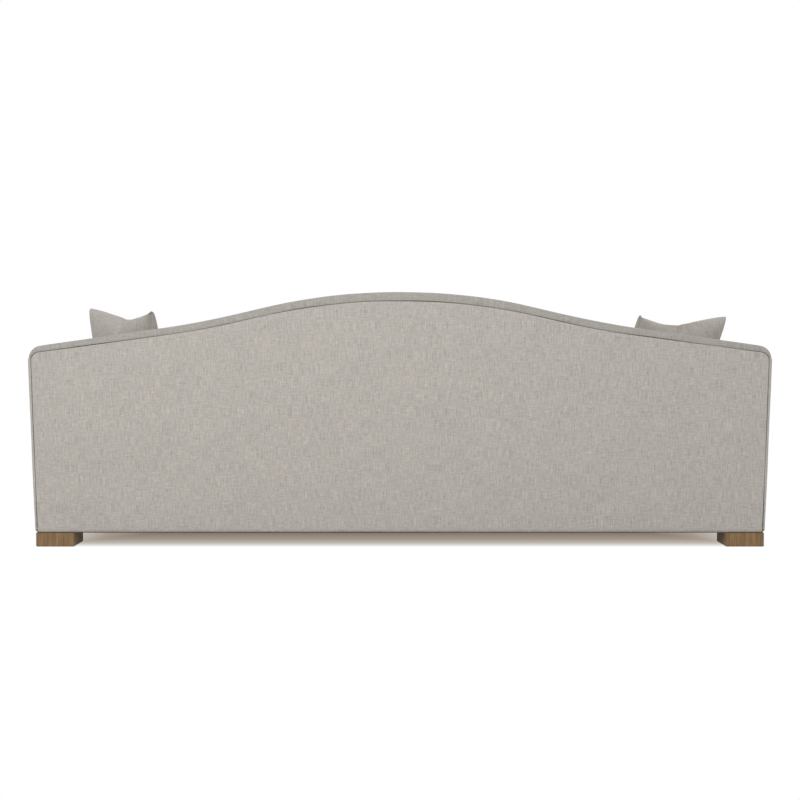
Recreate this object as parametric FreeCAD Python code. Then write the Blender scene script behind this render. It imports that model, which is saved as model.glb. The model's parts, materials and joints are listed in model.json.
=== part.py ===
"""Camelback sofa: hardwood frame, webbing, foam, sewn covers, loose seat cushions and two pillows.

Millimetres. +X is the viewer's right from the front, +Y the rear, +Z up. The origin is on the floor
under the middle of the sofa. "left" and "right" are as seen from the front.
"""

import FreeCAD
import Part

import math
import os

Vector = FreeCAD.Vector

# Overall sizes
overall_width = 2640.0
overall_depth = 965.0
overall_height = 914.0

# The camel line along the top of the back, from its middle to one end
hump_radius = 2060.0
shoulder_angle = 13.3
shoulder_run = 134.0
scoop_radius = 2575.0
wing_angle = 8.3
end_corner_radius = 48.0

# The back in side view
rear_rake = 5.0
inside_rake = 12.0
back_top_thickness = 140.0
inside_bulge = 14.0
rear_crown_radius = 28.0
inside_crown_radius = 44.0

# The arms
arm_width = 135.0
arm_front_drop = 60.0
arm_flat_run = 250.0
arm_scoop_radius = 2150.0
arm_nose_radius = 58.0
arm_edge_radius = 26.0
arm_edge_strips = 2
arm_into_back = 45.0

# Levels of the seat
foot_height = 50.0
deck_height = 305.0
front_recess = 18.0
front_edge_radius = 16.0
front_wrap = 110.0

# Soft layers
cover_thickness = 2.0
outer_padding = 8.0
liner_thickness = 2.0
arm_inside_padding = 22.0
arm_top_padding = 20.0
arm_front_padding = 12.0
back_top_padding = 22.0
deck_pad_thickness = 14.0
dust_cover_thickness = 1.5
dust_cover_margin = 12.0
tuck_depth = 16.0
layer_gap = 0.3
seam_gap = 0.6

# Frame timber
back_frame_thickness = 40.0
back_post_width = 45.0
top_rail_height = 92.0
rail_thickness = 20.0
arm_top_rail_thickness = 24.0
arm_post_thickness = 28.0
arm_base_rail_height = 100.0
tack_rail_height = 40.0
tack_rail_lift = 30.0
upright_width = 60.0
upright_spacing = 440.0
stretcher_width = 32.0
stretcher_height = 90.0
stretcher_spacing = 620.0
corner_block_leg = 110.0
corner_block_height = 40.0
corner_block_drop = 70.0

# Webbing
webbing_thickness = 2.0
webbing_gap = 0.3
webbing_land = 14.0
seat_strap_width = 70.0
seat_strap_count = 15
cross_strap_width = 60.0
cross_strap_count = 3
back_strap_width = 50.0
back_strap_count = 12

# Feet and their fixings
foot_size = 138.0
foot_inset = 8.0
foot_chamfer = 2.5
centre_foot_size = 70.0
foot_plate_length = 124.0
foot_plate_thickness = 20.0
bolt_radius = 4.0
bolt_depth_in_foot = 34.0
bolt_end_above_nut = 4.0
fixing_clearance = 0.2
nut_barrel_radius = 5.0
nut_flange_radius = 11.0
nut_flange_thickness = 1.5
nut_flange_sides = 6

# Loose seat cushions
seat_cushion_count = 3
seat_cushion_border = 130.0
seat_cushion_crown = 20.0
seat_cushion_draw_in = 5.0
seat_cushion_corner = 22.0
seat_cushion_edge = 8.0
seat_cushion_crown_rings = 3
seat_cushion_flat_share = 0.3
seat_cushion_gap = 3.0
seat_cushion_front_set_back = 6.0
zip_width = 22.0
zip_thickness = 1.0
zip_length_share = 0.8

# Throw pillows: size from ear to ear, and the place of the middle of the top edge in plan
pillow_width = 450.0
pillow_height = 432.0
pillow_thickness = 160.0
pillow_draw_in = 24.0
pillow_rings = 4
pillow_ring_share = 0.88
pillow_bow_share = 1.5
pillow_ear_power = 1.6
right_pillow_from_arm = 131.4
right_pillow_from_back = 208.0
right_pillow_yaw = 48.9
right_pillow_lean = 11.0
right_pillow_roll = 2.7
right_pillow_below_crown = 27.0
left_pillow_from_arm = 122.0
left_pillow_from_back = 142.0
left_pillow_yaw = 33.8
left_pillow_lean = 25.0
left_pillow_roll = 0.0
left_pillow_below_crown = 10.0

# Straight runs that stand for the bowed sides and round corners of sewn cushions
side_runs = 3
corner_runs = 2
pillow_side_runs = 5

# A margin that only makes cutting blocks reach past what they cut, and a small one where room is tight
reach = 60.0
overcut = 1.0

# How near the drawn surface a face must lie to count as part of it
on_surface_tolerance = 0.05

# A corner of the camel line smaller than this is drawn sharp
least_corner_radius = 1.0

# A flat bevel whose legs are this share of a round's radius touches that round at its middle
bevel_share = 2 - math.sqrt(2)

# Worked-out sizes
half_width = overall_width / 2
half_depth = overall_depth / 2
front_face_y = -half_depth
border_face_y = front_face_y + front_recess
body_bottom = foot_height + dust_cover_thickness
rear_tan = math.tan(math.radians(rear_rake))
rear_cos = math.cos(math.radians(rear_rake))
inside_tan = math.tan(math.radians(inside_rake))
frame_inset = cover_thickness + outer_padding + liner_thickness
frame_front_inset = frame_inset + back_frame_thickness
foam_back_inset = frame_front_inset + webbing_thickness + webbing_gap
arm_inner_x = half_width - arm_width
core_inner_x = arm_inner_x + cover_thickness + arm_inside_padding + liner_thickness
core_outer_x = half_width - frame_inset
core_front_y = front_face_y + cover_thickness + arm_front_padding
core_top_inset = cover_thickness + arm_top_padding
post_inner_x = core_outer_x - back_post_width
foot_plate_top = body_bottom + foot_plate_thickness
webbing_level = deck_height - cover_thickness - deck_pad_thickness - webbing_thickness - webbing_gap
rail_top = webbing_level - webbing_thickness
tuck_level = deck_height - tuck_depth
tack_rail_bottom = deck_height + tack_rail_lift
tack_rail_top = tack_rail_bottom + tack_rail_height
front_rail_y = border_face_y + cover_thickness + outer_padding
front_rail_back_y = front_rail_y + rail_thickness


def rear_y(z, inset=0.0):
    """The rear face of the back at height z, moved forward by inset at right angles to it."""
    widest = overall_height - bevel_share * rear_crown_radius
    return half_depth - (widest - z) * rear_tan - inset / rear_cos


def inside_chord_y(z):
    """The straight line under the inside face of the back."""
    return rear_y(overall_height) - back_top_thickness - (overall_height - z) * inside_tan


def block(x0, x1, y0, y1, z0, z1):
    return Part.makeBox(x1 - x0, y1 - y0, z1 - z0, Vector(x0, y0, z0))


def mirrored(shape):
    return shape.mirror(Vector(0, 0, 0), Vector(1, 0, 0))


def prism_along_x(edges, x0, x1):
    """A YZ outline at x = 0 made solid from x0 to x1."""
    face = Part.Face(Part.Wire(edges))
    face.translate(Vector(x0, 0, 0))
    return face.extrude(Vector(x1 - x0, 0, 0))


def yz(y, z):
    return Vector(0, y, z)


def xz(x, z):
    return Vector(x, 0, z)


def line(a, b):
    return Part.makeLine(a, b)


def arc(centre, radius, start, end, axis):
    """An arc about centre from angle start to end in degrees, in the plane that axis names."""
    middle = (start + end) / 2
    plane = yz if axis == "x" else xz
    points = []
    for angle in (start, middle, end):
        turn = math.radians(angle)
        offset = plane(radius * math.cos(turn), radius * math.sin(turn))
        points.append(centre + offset)
    return Part.Arc(*points).toShape()


# The camel line

def camel_edges(inset, bottom):
    """The right half of the camel line, set in by inset, from the middle down to the floor of the body."""
    a = math.radians(shoulder_angle)
    b = math.radians(wing_angle)
    up_a = xz(math.sin(a), math.cos(a))
    up_b = xz(math.sin(b), math.cos(b))
    hump_centre = xz(0, overall_height - hump_radius)
    hump_end = hump_centre + up_a * hump_radius
    shoulder_end = hump_end + xz(math.cos(a), -math.sin(a)) * shoulder_run
    scoop_centre = shoulder_end + up_a * scoop_radius
    scoop_end = scoop_centre - up_b * scoop_radius
    corner_x = half_width - end_corner_radius
    wing_end_x = corner_x + end_corner_radius * math.sin(b)
    wing_end = xz(wing_end_x, scoop_end.z - (wing_end_x - scoop_end.x) * math.tan(b))
    corner_centre = wing_end - up_b * end_corner_radius
    corner = end_corner_radius - inset
    hump = arc(hump_centre, hump_radius - inset, 90, 90 - shoulder_angle, "y")
    shoulder = line(hump_end - up_a * inset, shoulder_end - up_a * inset)
    scoop = arc(scoop_centre, scoop_radius + inset, 270 - shoulder_angle, 270 - wing_angle, "y")
    wing_start = scoop_end - up_b * inset
    if corner > least_corner_radius:
        wing = line(wing_start, wing_end - up_b * inset)
        end = arc(corner_centre, corner, 90 - wing_angle, 0, "y")
        side_top = corner_centre + xz(corner, 0)
        tail = [wing, end, line(side_top, xz(side_top.x, bottom))]
    else:
        side_x = half_width - inset
        side_z = wing_start.z - (side_x - wing_start.x) * math.tan(b)
        tail = [line(wing_start, xz(side_x, side_z)), line(xz(side_x, side_z), xz(side_x, bottom))]
    return [hump, shoulder, scoop] + tail


def camel_prism(inset, bottom):
    """Everything under the camel line set in by inset, right through the depth of the sofa."""
    right = camel_edges(inset, bottom)
    left = [mirrored(edge) for edge in right]
    corner = right[-1].Vertexes[-1].Point
    floor = line(corner, xz(-corner.x, corner.z))
    wire = Part.Wire(Part.__sortEdges__(right + left + [floor]))
    face = Part.Face(wire)
    face.translate(Vector(0, -half_depth - reach, 0))
    return face.extrude(Vector(0, overall_depth + 2 * reach, 0))


def behind(inset, bottom=0.0):
    """Everything behind the plane that lies inset in front of the rear face."""
    top = overall_height + reach
    far = half_depth + 2 * reach
    corners = [yz(rear_y(bottom, inset), bottom), yz(rear_y(top, inset), top), yz(far, top), yz(far, bottom)]
    edges = [line(corners[i], corners[(i + 1) % len(corners)]) for i in range(len(corners))]
    return prism_along_x(edges, -half_width - reach, half_width + reach)


def back_slab(front_inset, rear_inset):
    """The slice between two planes that are parallel to the rear face."""
    return behind(front_inset).cut(behind(rear_inset))


def on_surface(edge, surface_y, bottom):
    """Whether an edge lies on the surface y = surface_y(z), above the bottom."""
    first, last = edge.ParameterRange
    points = [edge.valueAt(first), edge.valueAt((first + last) / 2), edge.valueAt(last)]
    lies_on = all(abs(p.y - surface_y(p.z)) < on_surface_tolerance for p in points)
    return lies_on and max(p.z for p in points) > bottom + overcut


# Outer forms of the back and the arms, each also made thinner for the layers inside

def inside_face_arc(inset):
    """The bulged inside face in side view, from the deck to the top: its edge, and y at a height."""
    low = tuck_level - reach
    top = overall_height
    middle_z = (low + top) / 2
    start = yz(inside_chord_y(low) + inset, low)
    middle = yz(inside_chord_y(middle_z) + inset - inside_bulge, middle_z)
    end = yz(inside_chord_y(top) + inset, top)
    edge = Part.Arc(start, middle, end).toShape()
    centre = edge.Curve.Center
    radius = edge.Curve.Radius

    def y_at(z):
        return centre.y - math.sqrt(radius ** 2 - (z - centre.z) ** 2)

    return edge, y_at


def back_form(inset, bottom):
    """The back, upholstered, with its crown eased to the rear and to the inside."""
    inside, inside_y = inside_face_arc(inset)
    low = inside.Vertexes[0].Point
    top = inside.Vertexes[-1].Point
    above = overall_height + reach
    corners = [top, yz(top.y, above), yz(rear_y(above, inset), above), yz(rear_y(bottom, inset), bottom)]
    corners.append(yz(low.y, bottom))
    corners.append(low)
    straight = [line(corners[i], corners[i + 1]) for i in range(len(corners) - 1)]
    side_view = prism_along_x([inside] + straight, -half_width - reach, half_width + reach)
    form = camel_prism(inset, bottom).common(side_view)
    rear_edges = [e for e in form.Edges if on_surface(e, lambda z: rear_y(z, inset), bottom)]
    form = form.makeChamfer(bevel_share * (rear_crown_radius - inset), rear_edges)
    inside_edges = [e for e in form.Edges if on_surface(e, inside_y, tuck_level)]
    return form.makeChamfer(bevel_share * (inside_crown_radius - inset), inside_edges)


def arm_top_z(y, inset=0.0):
    """The height of the arm's top line at y, set in by inset."""
    scoop_start = front_face_y + arm_flat_run
    if y <= scoop_start:
        return arm_front_height - inset
    radius = arm_scoop_radius + inset
    centre_z = arm_front_height + arm_scoop_radius
    return centre_z - math.sqrt(radius ** 2 - (y - scoop_start) ** 2)


def arm_side_edges(top_inset, front_inset, rear, bottom):
    """The arm's outline in side view: rounded nose, level front run and a long scoop up to the back."""
    radius = arm_nose_radius - max(top_inset, front_inset)
    front = front_face_y + front_inset
    top = arm_front_height - top_inset
    scoop_y = front_face_y + arm_flat_run
    scoop_r = arm_scoop_radius + top_inset
    scoop_centre = yz(scoop_y, arm_front_height + arm_scoop_radius)
    swing = math.degrees(math.asin((rear - scoop_y) / scoop_r))
    nose_centre = yz(front + radius, top - radius)
    nose = arc(nose_centre, radius, 180, 90, "x")
    scoop = arc(scoop_centre, scoop_r, 270, 270 + swing, "x")
    level = line(yz(front + radius, top), yz(scoop_y, top))
    rear_top = yz(rear, arm_top_z(rear, top_inset))
    rear_low = yz(rear, bottom)
    front_low = yz(front, bottom)
    sides = [line(rear_top, rear_low), line(rear_low, front_low), line(front_low, yz(front, top - radius))]
    return [nose, level, scoop] + sides


def arm_form(inset, bottom, rear):
    """The right arm, upholstered, with its long edges rounded in narrow strips."""
    inner = arm_inner_x + inset
    outer = half_width - inset
    radius = arm_edge_radius - inset
    steps = []
    for i in range(arm_edge_strips + 1):
        angle = math.radians(90 * i / arm_edge_strips)
        steps.append((radius * (1 - math.cos(angle)), inset + radius * (1 - math.sin(angle))))
    places = [(inner + across, drop) for across, drop in steps]
    places += [(outer - across, drop) for across, drop in reversed(steps)]
    sections = []
    for x, drop in places:
        section = Part.Wire(arm_side_edges(drop, drop, rear, bottom))
        section.translate(Vector(x, 0, 0))
        sections.append(section)
    return Part.makeLoft(sections, True, True)


def arm_core(gap, x0, x1):
    """The hollow inside the right arm's padding, where its timber is, made smaller by a gap at its top."""
    edges = arm_side_edges(core_top_inset + gap, cover_thickness + arm_front_padding, half_depth, 0.0)
    return prism_along_x(edges, x0, x1)


def end_seam_z():
    """Where the camel line's end corner runs into the straight side."""
    side = camel_edges(0.0, body_bottom)[-1]
    return max(v.Point.z for v in side.Vertexes)


# Everything above uses these shared forms
arm_front_height = end_seam_z() - arm_front_drop
arm_rear_y = rear_y(deck_height) - arm_into_back
frame_top_inset = cover_thickness + back_top_padding
frame_end_x = half_width - frame_top_inset
back_outer = back_form(0.0, body_bottom)
back_clear = back_outer.translated(Vector(0, -layer_gap, 0))
back_under_cover = back_form(cover_thickness, body_bottom - overcut)
back_padded = back_form(cover_thickness + layer_gap, body_bottom)
arm_outer = arm_form(0.0, body_bottom, arm_rear_y)
arm_clear = arm_form(-layer_gap, body_bottom, arm_rear_y)
arm_under_cover = arm_form(cover_thickness, body_bottom - overcut, arm_rear_y + overcut)
arm_padded = arm_form(cover_thickness + layer_gap, body_bottom, arm_rear_y)
below_frame_top = camel_prism(frame_top_inset + layer_gap, foot_plate_top)
slab = back_slab(frame_front_inset, frame_inset)


# Frame timber

def seat_rails():
    """Front, rear and side rails of the seat box, and the arms' outer base rails."""
    front = block(-core_inner_x, core_inner_x, front_rail_y, front_rail_back_y, foot_plate_top, rail_top)
    rear_zone = block(-post_inner_x, post_inner_x, 0, half_depth, foot_plate_top, rail_top)
    rear = slab.common(rear_zone)
    start = core_front_y + arm_post_thickness
    side = block(core_inner_x, core_inner_x + rail_thickness, start, half_depth, foot_plate_top, rail_top)
    side = side.cut(behind(frame_front_inset))
    base_top = foot_plate_top + arm_base_rail_height
    base = block(core_outer_x - rail_thickness, core_outer_x, start, half_depth, foot_plate_top, base_top)
    base = base.cut(behind(frame_front_inset))
    return front, rear, side, base


def seat_stretchers():
    """Cross members between the front and the rear rail, under the webbing."""
    pieces = []
    top = foot_plate_top + stretcher_height
    for x in (-stretcher_spacing, 0.0, stretcher_spacing):
        half = stretcher_width / 2
        bar = block(x - half, x + half, front_rail_back_y, half_depth, foot_plate_top, top)
        pieces.append(bar.cut(behind(frame_front_inset)))
    return pieces


def corner_blocks():
    """Four triangular glue blocks inside the corners of the seat box."""
    pieces = []
    top = rail_top - corner_block_drop
    height = corner_block_height
    leg = corner_block_leg
    rail_back = front_rail_back_y
    post_back = core_front_y + arm_post_thickness
    front_y = max(rail_back, post_back)
    rear_face = rear_y(top - height, frame_front_inset)
    for corner_y, away in ((front_y, 1), (rear_face, -1)):
        corner = Vector(core_inner_x, corner_y, top - height)
        along_x = corner - Vector(leg, 0, 0)
        along_y = corner + Vector(0, away * leg, 0)
        face = Part.Face(Part.makePolygon([corner, along_x, along_y, corner]))
        piece = face.extrude(Vector(0, 0, height))
        pieces.append(piece)
        pieces.append(mirrored(piece))
    return pieces


def back_posts():
    """The raked post at the right end of the back, cut to the camel line at its top."""
    zone = block(post_inner_x, core_outer_x, 0, half_depth, foot_plate_top, overall_height)
    return slab.common(zone).common(below_frame_top)


def camel_top_rail():
    """The sawn top rail between the posts, following the camel line."""
    below_rail = camel_prism(frame_top_inset + top_rail_height, 0.0)
    zone = block(-post_inner_x, post_inner_x, 0, half_depth, tack_rail_top, overall_height)
    return slab.common(zone).common(below_frame_top).cut(below_rail)


def back_tack_rail():
    """The lower back rail, above the gap that the covers are pulled through."""
    zone = block(-post_inner_x, post_inner_x, 0, half_depth, tack_rail_bottom, tack_rail_top)
    return slab.common(zone)


def back_uprights():
    """Uprights from the lower back rail to the top rail, with a spacer under each."""
    below_rail = camel_prism(frame_top_inset + top_rail_height + layer_gap, 0.0)
    behind_straps = back_slab(frame_front_inset - webbing_land - seam_gap, frame_inset)
    pieces = []
    half = upright_width / 2
    for x in (-upright_spacing, 0.0, upright_spacing):
        tall = block(x - half, x + half, 0, half_depth, tack_rail_top, overall_height)
        pieces.append(slab.common(tall).common(below_rail))
        low = block(x - half, x + half, 0, half_depth, rail_top, tack_rail_bottom)
        pieces.append(behind_straps.common(low))
    return pieces


def arm_timber():
    """Top rail, front post and inner tack rail of the right arm."""
    post_back = core_front_y + arm_post_thickness
    core = arm_core(layer_gap, core_inner_x, core_outer_x)
    post_zone = block(core_inner_x, core_outer_x, core_front_y, post_back, foot_plate_top, overall_height)
    post = core.common(post_zone)
    lower = arm_side_edges(core_top_inset + arm_top_rail_thickness, 0.0, half_depth, 0.0)
    under_rail = prism_along_x(lower, core_inner_x - overcut, core_outer_x + overcut)
    rail_zone = block(core_inner_x, core_outer_x, post_back, half_depth, tack_rail_top, overall_height)
    top = core.common(rail_zone).cut(under_rail).cut(behind(frame_front_inset))
    inner = core_inner_x + rail_thickness
    tack = block(core_inner_x, inner, post_back, half_depth, tack_rail_bottom, tack_rail_top)
    return top, post, tack.cut(behind(frame_front_inset))


# Webbing and liners

def spread(count, low, high):
    """Evenly spaced places from low to high."""
    if count == 1:
        return [(low + high) / 2]
    return [low + (high - low) * i / (count - 1) for i in range(count)]


def seat_straps():
    """Straps from the front rail to the rear rail, pulled straight."""
    end = core_inner_x - seat_strap_width
    rear_end = rear_y(webbing_level, frame_front_inset) + webbing_land
    start = front_rail_back_y - webbing_land
    pieces = []
    for x in spread(seat_strap_count, -end, end):
        half = seat_strap_width / 2
        pieces.append(block(x - half, x + half, start, rear_end, rail_top, webbing_level))
    return pieces


def cross_strap(y, first_over):
    """One strap from side rail to side rail, woven over and under the others."""
    end = core_inner_x - seat_strap_width
    places = spread(seat_strap_count, -end, end)
    step = webbing_thickness + webbing_gap
    half = seat_strap_width / 2
    land = core_inner_x + webbing_land
    middle = [(-land, 0.0), (-core_inner_x, 0.0)]
    for i, x in enumerate(places):
        over = (i % 2 == 0) == first_over
        lift = step if over else -step
        middle += [(x - half, lift), (x + half, lift)]
    middle += [(core_inner_x, 0.0), (land, 0.0)]
    low = [xz(x, rail_top + lift) for x, lift in middle]
    high = [xz(x, webbing_level + lift) for x, lift in reversed(middle)]
    face = Part.Face(Part.makePolygon(low + high + [low[0]]))
    face.translate(Vector(0, y - cross_strap_width / 2, 0))
    return face.extrude(Vector(0, cross_strap_width, 0))


def cross_straps():
    spare = 2 * cross_strap_width
    low = front_rail_back_y + spare
    high = rear_y(rail_top, frame_front_inset) - spare
    places = spread(cross_strap_count, low, high)
    return [cross_strap(y, i % 2 == 0) for i, y in enumerate(places)]


def back_straps():
    """Straps up the front of the back frame, each as long as the camel line leaves."""
    layer = back_slab(frame_front_inset + webbing_thickness, frame_front_inset)
    low = tack_rail_bottom + webbing_land
    top = camel_prism(frame_top_inset + webbing_land, low)
    end = post_inner_x - 2 * back_strap_width
    pieces = []
    for x in spread(back_strap_count, -end, end):
        half = back_strap_width / 2
        zone = block(x - half, x + half, 0, half_depth, low, overall_height)
        pieces.append(layer.common(zone).common(top))
    return pieces


def back_liner():
    """Stiff board across the rear of the frame, which keeps the outside back flat."""
    layer = back_slab(frame_inset, frame_inset - liner_thickness)
    zone = block(-core_outer_x, core_outer_x, 0, half_depth + reach, foot_plate_top, overall_height)
    return layer.common(zone).common(below_frame_top)


def arm_liners():
    """Stiff boards on the outer and the inner side of the right arm's timber."""
    above_plates = block(0, half_width, -half_depth, half_depth, foot_plate_top, overall_height)
    outer = arm_core(layer_gap, core_outer_x, core_outer_x + liner_thickness)
    outer = outer.common(above_plates).cut(behind(frame_front_inset))
    inner = arm_core(layer_gap, core_inner_x - liner_thickness, core_inner_x)
    above_tack_gap = block(0, half_width, -half_depth, half_depth, tack_rail_bottom, overall_height)
    return [outer, inner.common(above_tack_gap).cut([back_clear, behind(frame_front_inset)])]


# Soft padding

def arm_hollow():
    """The space for the right arm's timber and liners, up to the front of the back frame."""
    hollow = arm_core(0.0, core_inner_x - liner_thickness, core_outer_x + liner_thickness)
    return hollow.cut(behind(frame_front_inset))


def back_padding():
    """The foam of the inside back and its roll over the top rail, and the thin pad behind the frame."""
    hollow = arm_hollow()
    frame_space = camel_prism(frame_top_inset, 0.0).common(behind(foam_back_inset))
    high = 2 * overall_height
    far = half_depth + reach
    above_tuck = block(-half_width, half_width, -half_depth, far, tuck_level, high)
    end_column = block(frame_end_x, half_width, -half_depth, far, foot_plate_top, high)
    zone = above_tuck.fuse([end_column, mirrored(end_column)])
    foam = back_padded.common(zone).cut([frame_space, hollow, mirrored(hollow)])
    rear_zone = camel_prism(frame_top_inset, 0.0).common(behind(frame_inset - liner_thickness))
    return foam, back_padded.common(rear_zone)


def arm_padding():
    """The right arm's padding: thin outside, thick inside and over the top."""
    pad = arm_padded.cut([arm_hollow(), back_clear])
    below_deck = block(0, core_inner_x, front_rail_back_y, half_depth, 0, tuck_level)
    front_join = block(0, core_inner_x, front_rail_y, front_rail_back_y, 0, rail_top)
    return pad.cut([below_deck, front_join])


def border_profile(inset, rear, bottom):
    """The front border in side view: up the front, round the edge and back over the deck."""
    front = border_face_y + inset
    top = deck_height - inset
    radius = front_edge_radius - inset
    corner = arc(yz(front + radius, top - radius), radius, 180, 90, "x")
    points = [yz(front + radius, top), yz(rear, top), yz(rear, bottom), yz(front, bottom), yz(front, top - radius)]
    straight = [line(points[i], points[i + 1]) for i in range(len(points) - 1)]
    return [corner] + straight


def front_border():
    """The cover of the front border and the padding between it and the front rail."""
    rear = border_face_y + front_wrap
    outer = prism_along_x(border_profile(0.0, rear, body_bottom), -arm_inner_x, arm_inner_x)
    inner = prism_along_x(border_profile(cover_thickness, rear + overcut, 0.0), -half_width, half_width)
    padded = border_profile(cover_thickness + layer_gap, rear, body_bottom)
    pad = prism_along_x(padded, -arm_inner_x, arm_inner_x)
    pad_bottom = webbing_level + webbing_thickness + webbing_gap
    rail_space = block(-half_width, half_width, front_rail_y, rear, 0, pad_bottom)
    return outer.cut(inner), pad.cut(rail_space)


def deck():
    """The pad on the webbing and the cloth over it, from the front border to the inside back."""
    low = webbing_level + webbing_thickness + webbing_gap
    start = border_face_y + front_wrap
    end = inside_chord_y(deck_height) + tuck_depth
    pad = block(-arm_inner_x, arm_inner_x, start, end, low, deck_height - cover_thickness)
    cloth = block(-arm_inner_x, arm_inner_x, start, end, deck_height - cover_thickness, deck_height)
    return pad.cut(back_clear), cloth.cut(back_clear)


# Sewn covers, cut from the shells of the back and the arms along their seams

def back_covers():
    """Outside back, top band, inside back, and the strip round each end that joins the arm's outer side."""
    shell = back_outer.cut([back_under_cover, arm_clear, mirrored(arm_clear)])
    rear_side = behind(cover_thickness * 2)
    rear_panel = rear_side.common(camel_prism(rear_crown_radius, 0.0))
    rear_panel_sewn = rear_side.common(camel_prism(rear_crown_radius + seam_gap, 0.0))
    above_tuck = block(-half_width, half_width, -half_depth, half_depth, tuck_level, overall_height)
    inside_zone = above_tuck.cut(behind(back_top_thickness / 2))
    inside_panel = inside_zone.common(camel_prism(inside_crown_radius, 0.0))
    inside_panel_sewn = inside_zone.common(camel_prism(inside_crown_radius + seam_gap, 0.0))
    seam_x = half_width - rear_crown_radius
    far = half_depth + reach
    end_strip = block(seam_x, half_width + overcut, arm_rear_y, far, 0, end_seam_z())
    low = block(-half_width, half_width, -half_depth, far, 0, tuck_level)
    not_band = [rear_panel, inside_panel, end_strip, mirrored(end_strip), low]
    outside = shell.common(rear_panel_sewn)
    band = shell.cut(not_band)
    inside = shell.common(inside_panel_sewn)
    end_piece = shell.common(end_strip.translated(Vector(0, 0, -seam_gap))).cut(rear_panel)
    return outside, band, inside, end_piece


def arm_covers(back_end_piece):
    """Outer side, inner side and boxing band of the right arm."""
    whole_shell = arm_outer.cut(arm_under_cover)
    shell = whole_shell.cut(back_clear)
    outer_seam = half_width - arm_edge_radius
    inner_seam = arm_inner_x + arm_edge_radius
    high = 2 * overall_height
    outer = shell.common(block(outer_seam, half_width, -half_depth, half_depth, 0, high))
    inner = shell.common(block(arm_inner_x, inner_seam, -half_depth, half_depth, 0, high))
    band = shell.common(block(inner_seam, outer_seam, -half_depth, half_depth, 0, high))
    behind_border = block(arm_inner_x, inner_seam, front_rail_back_y, half_depth, 0, tuck_level)
    at_rail = block(arm_inner_x, inner_seam, front_rail_y, front_rail_back_y, 0, rail_top)
    inner = inner.cut([behind_border, at_rail])
    flat_side = block(half_width - cover_thickness, half_width, -half_depth, half_depth, 0, high)
    rear_strip = whole_shell.common(flat_side)
    outer = outer.fuse([rear_strip, back_end_piece]).removeSplitter()
    return outer, inner, band


def dust_cover():
    """The cloth under the seat box, holed for the foot bolts."""
    margin = dust_cover_margin
    y1 = rear_y(body_bottom, margin)
    cloth = block(margin - half_width, half_width - margin, front_face_y + margin, y1, foot_height, body_bottom)
    for x, y in foot_centres() + [centre_foot_place()]:
        half = nut_barrel_radius
        cloth = cloth.cut(block(x - half, x + half, y - half, y + half, foot_height, body_bottom))
    return cloth


# Feet and fixings

def foot_centres():
    """Plan centres of the corner feet: front right, front left, rear right, rear left."""
    x = half_width - foot_inset - foot_size / 2
    front = front_face_y + foot_inset + foot_size / 2
    rear = rear_y(foot_height) - foot_inset - foot_size / 2
    return [(x, front), (-x, front), (x, rear), (-x, rear)]


def centre_foot_place():
    return 0.0, (front_rail_back_y + rear_y(foot_height, frame_front_inset)) / 2


def foot(x, y, size):
    """A square block foot with eased edges and a blind hole for its bolt."""
    half = size / 2
    shape = block(x - half, x + half, y - half, y + half, 0, foot_height)
    eased = [e for e in shape.Edges if min(v.Point.z for v in e.Vertexes) < foot_height - overcut]
    shape = shape.makeChamfer(foot_chamfer, eased)
    low = foot_height - bolt_depth_in_foot
    return shape.cut(Part.makeCylinder(bolt_radius + fixing_clearance, foot_height, Vector(x, y, low)))


def foot_plate(x, y):
    """A block that the foot is bolted to; the corner ones fill the width of the arm's timber."""
    if x == 0.0:
        half = foot_plate_length / 2
        x0, x1, y0, y1 = -half, half, y - half, y + half
    else:
        x0, x1 = (core_inner_x, core_outer_x) if x > 0 else (-core_outer_x, -core_inner_x)
        y0 = core_front_y if y < 0 else rear_y(body_bottom, frame_inset) - foot_plate_length
        y1 = y0 + foot_plate_length
    plate = block(x0, x1, y0, y1, body_bottom, foot_plate_top)
    hole_radius = nut_barrel_radius + fixing_clearance
    return plate.cut(Part.makeCylinder(hole_radius, foot_plate_thickness, Vector(x, y, body_bottom)))


def tee_nut(x, y):
    barrel = Part.makeCylinder(nut_barrel_radius, foot_plate_thickness, Vector(x, y, body_bottom))
    corners = []
    for i in range(nut_flange_sides + 1):
        angle = 2 * math.pi * i / nut_flange_sides
        corner = Vector(math.cos(angle), math.sin(angle), 0) * nut_flange_radius
        corners.append(corner + Vector(x, y, foot_plate_top))
    flange = Part.Face(Part.makePolygon(corners)).extrude(Vector(0, 0, nut_flange_thickness))
    bore_length = foot_plate_thickness + nut_flange_thickness
    bore = Part.makeCylinder(bolt_radius + fixing_clearance, bore_length, Vector(x, y, body_bottom))
    return barrel.fuse(flange).cut(bore)


def foot_bolt(x, y):
    low = foot_height - bolt_depth_in_foot
    high = foot_plate_top + nut_flange_thickness + bolt_end_above_nut
    return Part.makeCylinder(bolt_radius, high - low, Vector(x, y, low))


def centre_nut_pocket():
    """Room in the middle stretcher for the tee nut and bolt of the centre foot."""
    x, y = centre_foot_place()
    height = nut_flange_thickness + bolt_end_above_nut + overcut
    return Part.makeCylinder(nut_flange_radius + overcut, height, Vector(x, y, foot_plate_top))


# Loose cushions and pillows

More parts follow.
